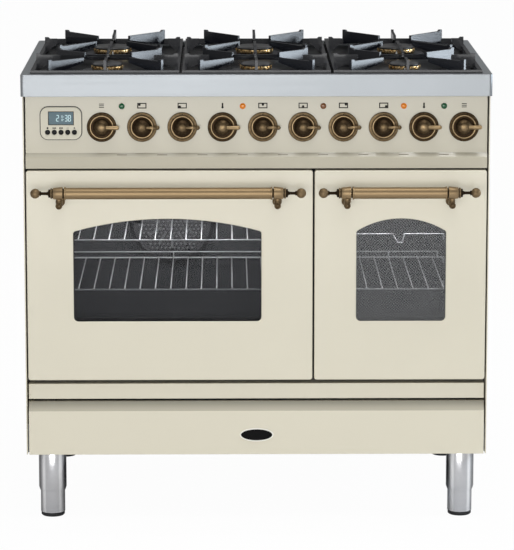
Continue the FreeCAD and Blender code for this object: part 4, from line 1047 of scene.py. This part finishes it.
def oval(name, grow, start, end, finish):
    b = badgeLook
    shape = bmesh.new()
    wide, tall = b["wide"] / 2 + grow, b["tall"] / 2 + grow
    upright = Matrix.Rotation(math.pi / 2, 4, "X") @ Matrix.Diagonal((wide * mm, tall * mm, 1, 1))
    place = Matrix.Translation((0, faceY - start * mm, b["height"] * mm)) @ upright
    bmesh.ops.create_circle(shape, cap_ends=True, segments=b["steps"], radius=1, matrix=place)
    rise = bmesh.ops.extrude_face_region(shape, geom=list(shape.faces))
    lifted = [g for g in rise["geom"] if isinstance(g, bmesh.types.BMVert)]
    bmesh.ops.translate(shape, vec=(0, -(end - start) * mm, 0), verts=lifted)
    bmesh.ops.recalc_face_normals(shape, faces=shape.faces)
    front = faceY - end * mm
    rimEdges = [e for e in shape.edges if all(abs(v.co.y - front) < 0.01 * mm for v in e.verts)]
    ease(shape, rimEdges, b["ease"] * mm, b["easeSteps"])
    finishPiece(name, shape, bodyOf("drawer_front"), finish, sharp=30)


rimFinish = plain("badgeRim", (238, 236, 226), 0.25, metallic=0.2, mottle=0.95)
faceFinish = castEnamel("badgeEnamel", (4, 4, 5), 0.4, depth=0.01, coat=0.0, shine=0.1)
oval("badgePlate", 0.0, badgeLook["rimStart"], badgeLook["rimTop"], rimFinish)
oval("badgeFace", -badgeLook["rim"], badgeLook["faceStart"], badgeLook["faceTop"], faceFinish)
print("badge made")

# Floor, world, lamps and camera
floorLook = {"size": 60.0, "shade": (238, 238, 238), "mirrored": (230, 230, 232), "glow": 0.97}
shape = bmesh.new()
bmesh.ops.create_grid(shape, x_segments=1, y_segments=1, size=floorLook["size"] / 2)
floorMesh = bpy.data.meshes.new("studioFloor")
shape.to_mesh(floorMesh)
shape.free()
floor = bpy.data.objects.new("studioFloor", floorMesh)
bpy.context.scene.collection.objects.link(floor)
paper = Finish("floorPaper")
seen = paper.add("ShaderNodeLightPath", out="Is Camera Ray")
mirrored = paper.add("ShaderNodeLightPath", out="Is Glossy Ray")
floorShade = paper.blend(mirrored, tint(*floorLook["shade"]), tint(*floorLook["mirrored"]))
paper.shade({"Base Color": floorShade, "Roughness": 0.9, "Specular IOR Level": 0.0})
white = paper.add("ShaderNodeEmission", {}, {"Color": (1, 1, 1, 1), "Strength": 1.0})
shaded = Wire(paper, paper.shader.outputs[0])
mixed = paper.add("ShaderNodeMixShader", {}, {0: seen * floorLook["glow"], 1: shaded, 2: white})
paper.put(paper.tree.nodes["Material Output"].inputs["Surface"], mixed)
floorMesh.materials.append(paper.material)

# White to the camera; metal sees a dark room with a pale band in front and a pale upper back
worldLook = {
    "fill": 0.5, "low": 0.1, "front": 0.72, "high": 0.5, "frontEdges": (0.3, -0.6), "highEdges": (0.2, 0.6),
    "levelEdges": (0.2, 0.0),
}
w = worldLook
rayKinds = ("Is Camera Ray", "Is Glossy Ray", "Is Transmission Ray")
sky = Finish("studioWorld", "worlds")
bpy.context.scene.world = sky.material
camera, glossy, through = (sky.add("ShaderNodeLightPath", out=kind) for kind in rayKinds)
toward = sky.add("ShaderNodeTexCoord", out="Generated")
height = sky.add("ShaderNodeSeparateXYZ", {}, {"Vector": toward}, out="Z")
behind = sky.add("ShaderNodeSeparateXYZ", {}, {"Vector": toward}, out="Y")
front = sky.spread(behind, *w["frontEdges"])
high = sky.spread(height, *w["highEdges"])
level = sky.spread(height * height, *w["levelEdges"])
bands = w["low"] + (w["front"] - w["low"]) * front * level + w["high"] * high * (1 - front)
strength = camera + through + glossy * bands + (1 - camera - through - glossy) * w["fill"]
background = sky.tree.nodes["Background"]
sky.put(background.inputs["Color"], (1, 1, 1, 1))
sky.put(background.inputs["Strength"], strength)


def lamp(name, place, aim, size, watts, shade=(1, 1, 1)):
    data = bpy.data.lights.new(name, "AREA")
    data.shape = "RECTANGLE"
    data.size, data.size_y = size
    data.energy, data.color = watts, shade
    light = bpy.data.objects.new(name, data)
    bpy.context.scene.collection.objects.link(light)
    light.location = place
    light.rotation_euler = (Vector(aim) - Vector(place)).to_track_quat("-Z", "Y").to_euler()
    light.visible_camera = False


lampLook = {  # place, aim, size, watts and colour
    "keySoftbox": ((-0.4, -4.6, 0.7), (0, 0, 0.5), (3.0, 1.1), 63, (1, 1, 1)),
    "topSoftbox": ((0.2, -0.8, 3.0), (0, 0, 0.9), (1.8, 0.35), 22, (1, 1, 1)),
    "sideStrip": ((2.4, 0.1, 1.16), (0, 0, 0.9), (1.6, 0.34), 24, (0.8, 0.9, 1.0)),
}
for name, settings in lampLook.items():
    lamp(name, *settings)
ovenLampLook = {"left": 2.2, "right": 1.6, "setback": 20.0, "drop": 12.0, "share": 0.7, "depth": 20.0}
o = ovenLampLook
for oven, (low, high) in ovens.items():
    middle = (low + high) / 2
    place = (middle.x, low.y + o["setback"] * mm, high.z - o["drop"] * mm)
    size = (o["share"] * (high.x - low.x), o["depth"] * mm)
    lamp(oven + "OvenLamp", place, (middle.x, high.y, low.z), size, o[oven])

cameraLook = {  # focal length and picture height are in the photograph's pixels
    "across": -61.1, "distance": 5720.8, "height": 1568.7, "pitch": 9.664, "yaw": -0.619, "focal": 3024.5,
    "photoHeight": 550, "sensor": 36, "shift": -0.1, "farthest": 100,
}
c = cameraLook
data = bpy.data.cameras.new("photoCamera")
data.sensor_width = c["sensor"]
data.lens = c["focal"] * c["sensor"] / c["photoHeight"]
data.shift_y = c["shift"]
data.clip_end = c["farthest"]
photoCamera = bpy.data.objects.new("photoCamera", data)
bpy.context.scene.collection.objects.link(photoCamera)
photoCamera.location = (c["across"] * mm, worktopLow.y - c["distance"] * mm, c["height"] * mm)
photoCamera.rotation_euler = (math.radians(90 - c["pitch"]), 0, math.radians(c["yaw"]))
bpy.context.scene.camera = photoCamera
bpy.context.scene.view_settings.view_transform = "Standard"
print("studio made")
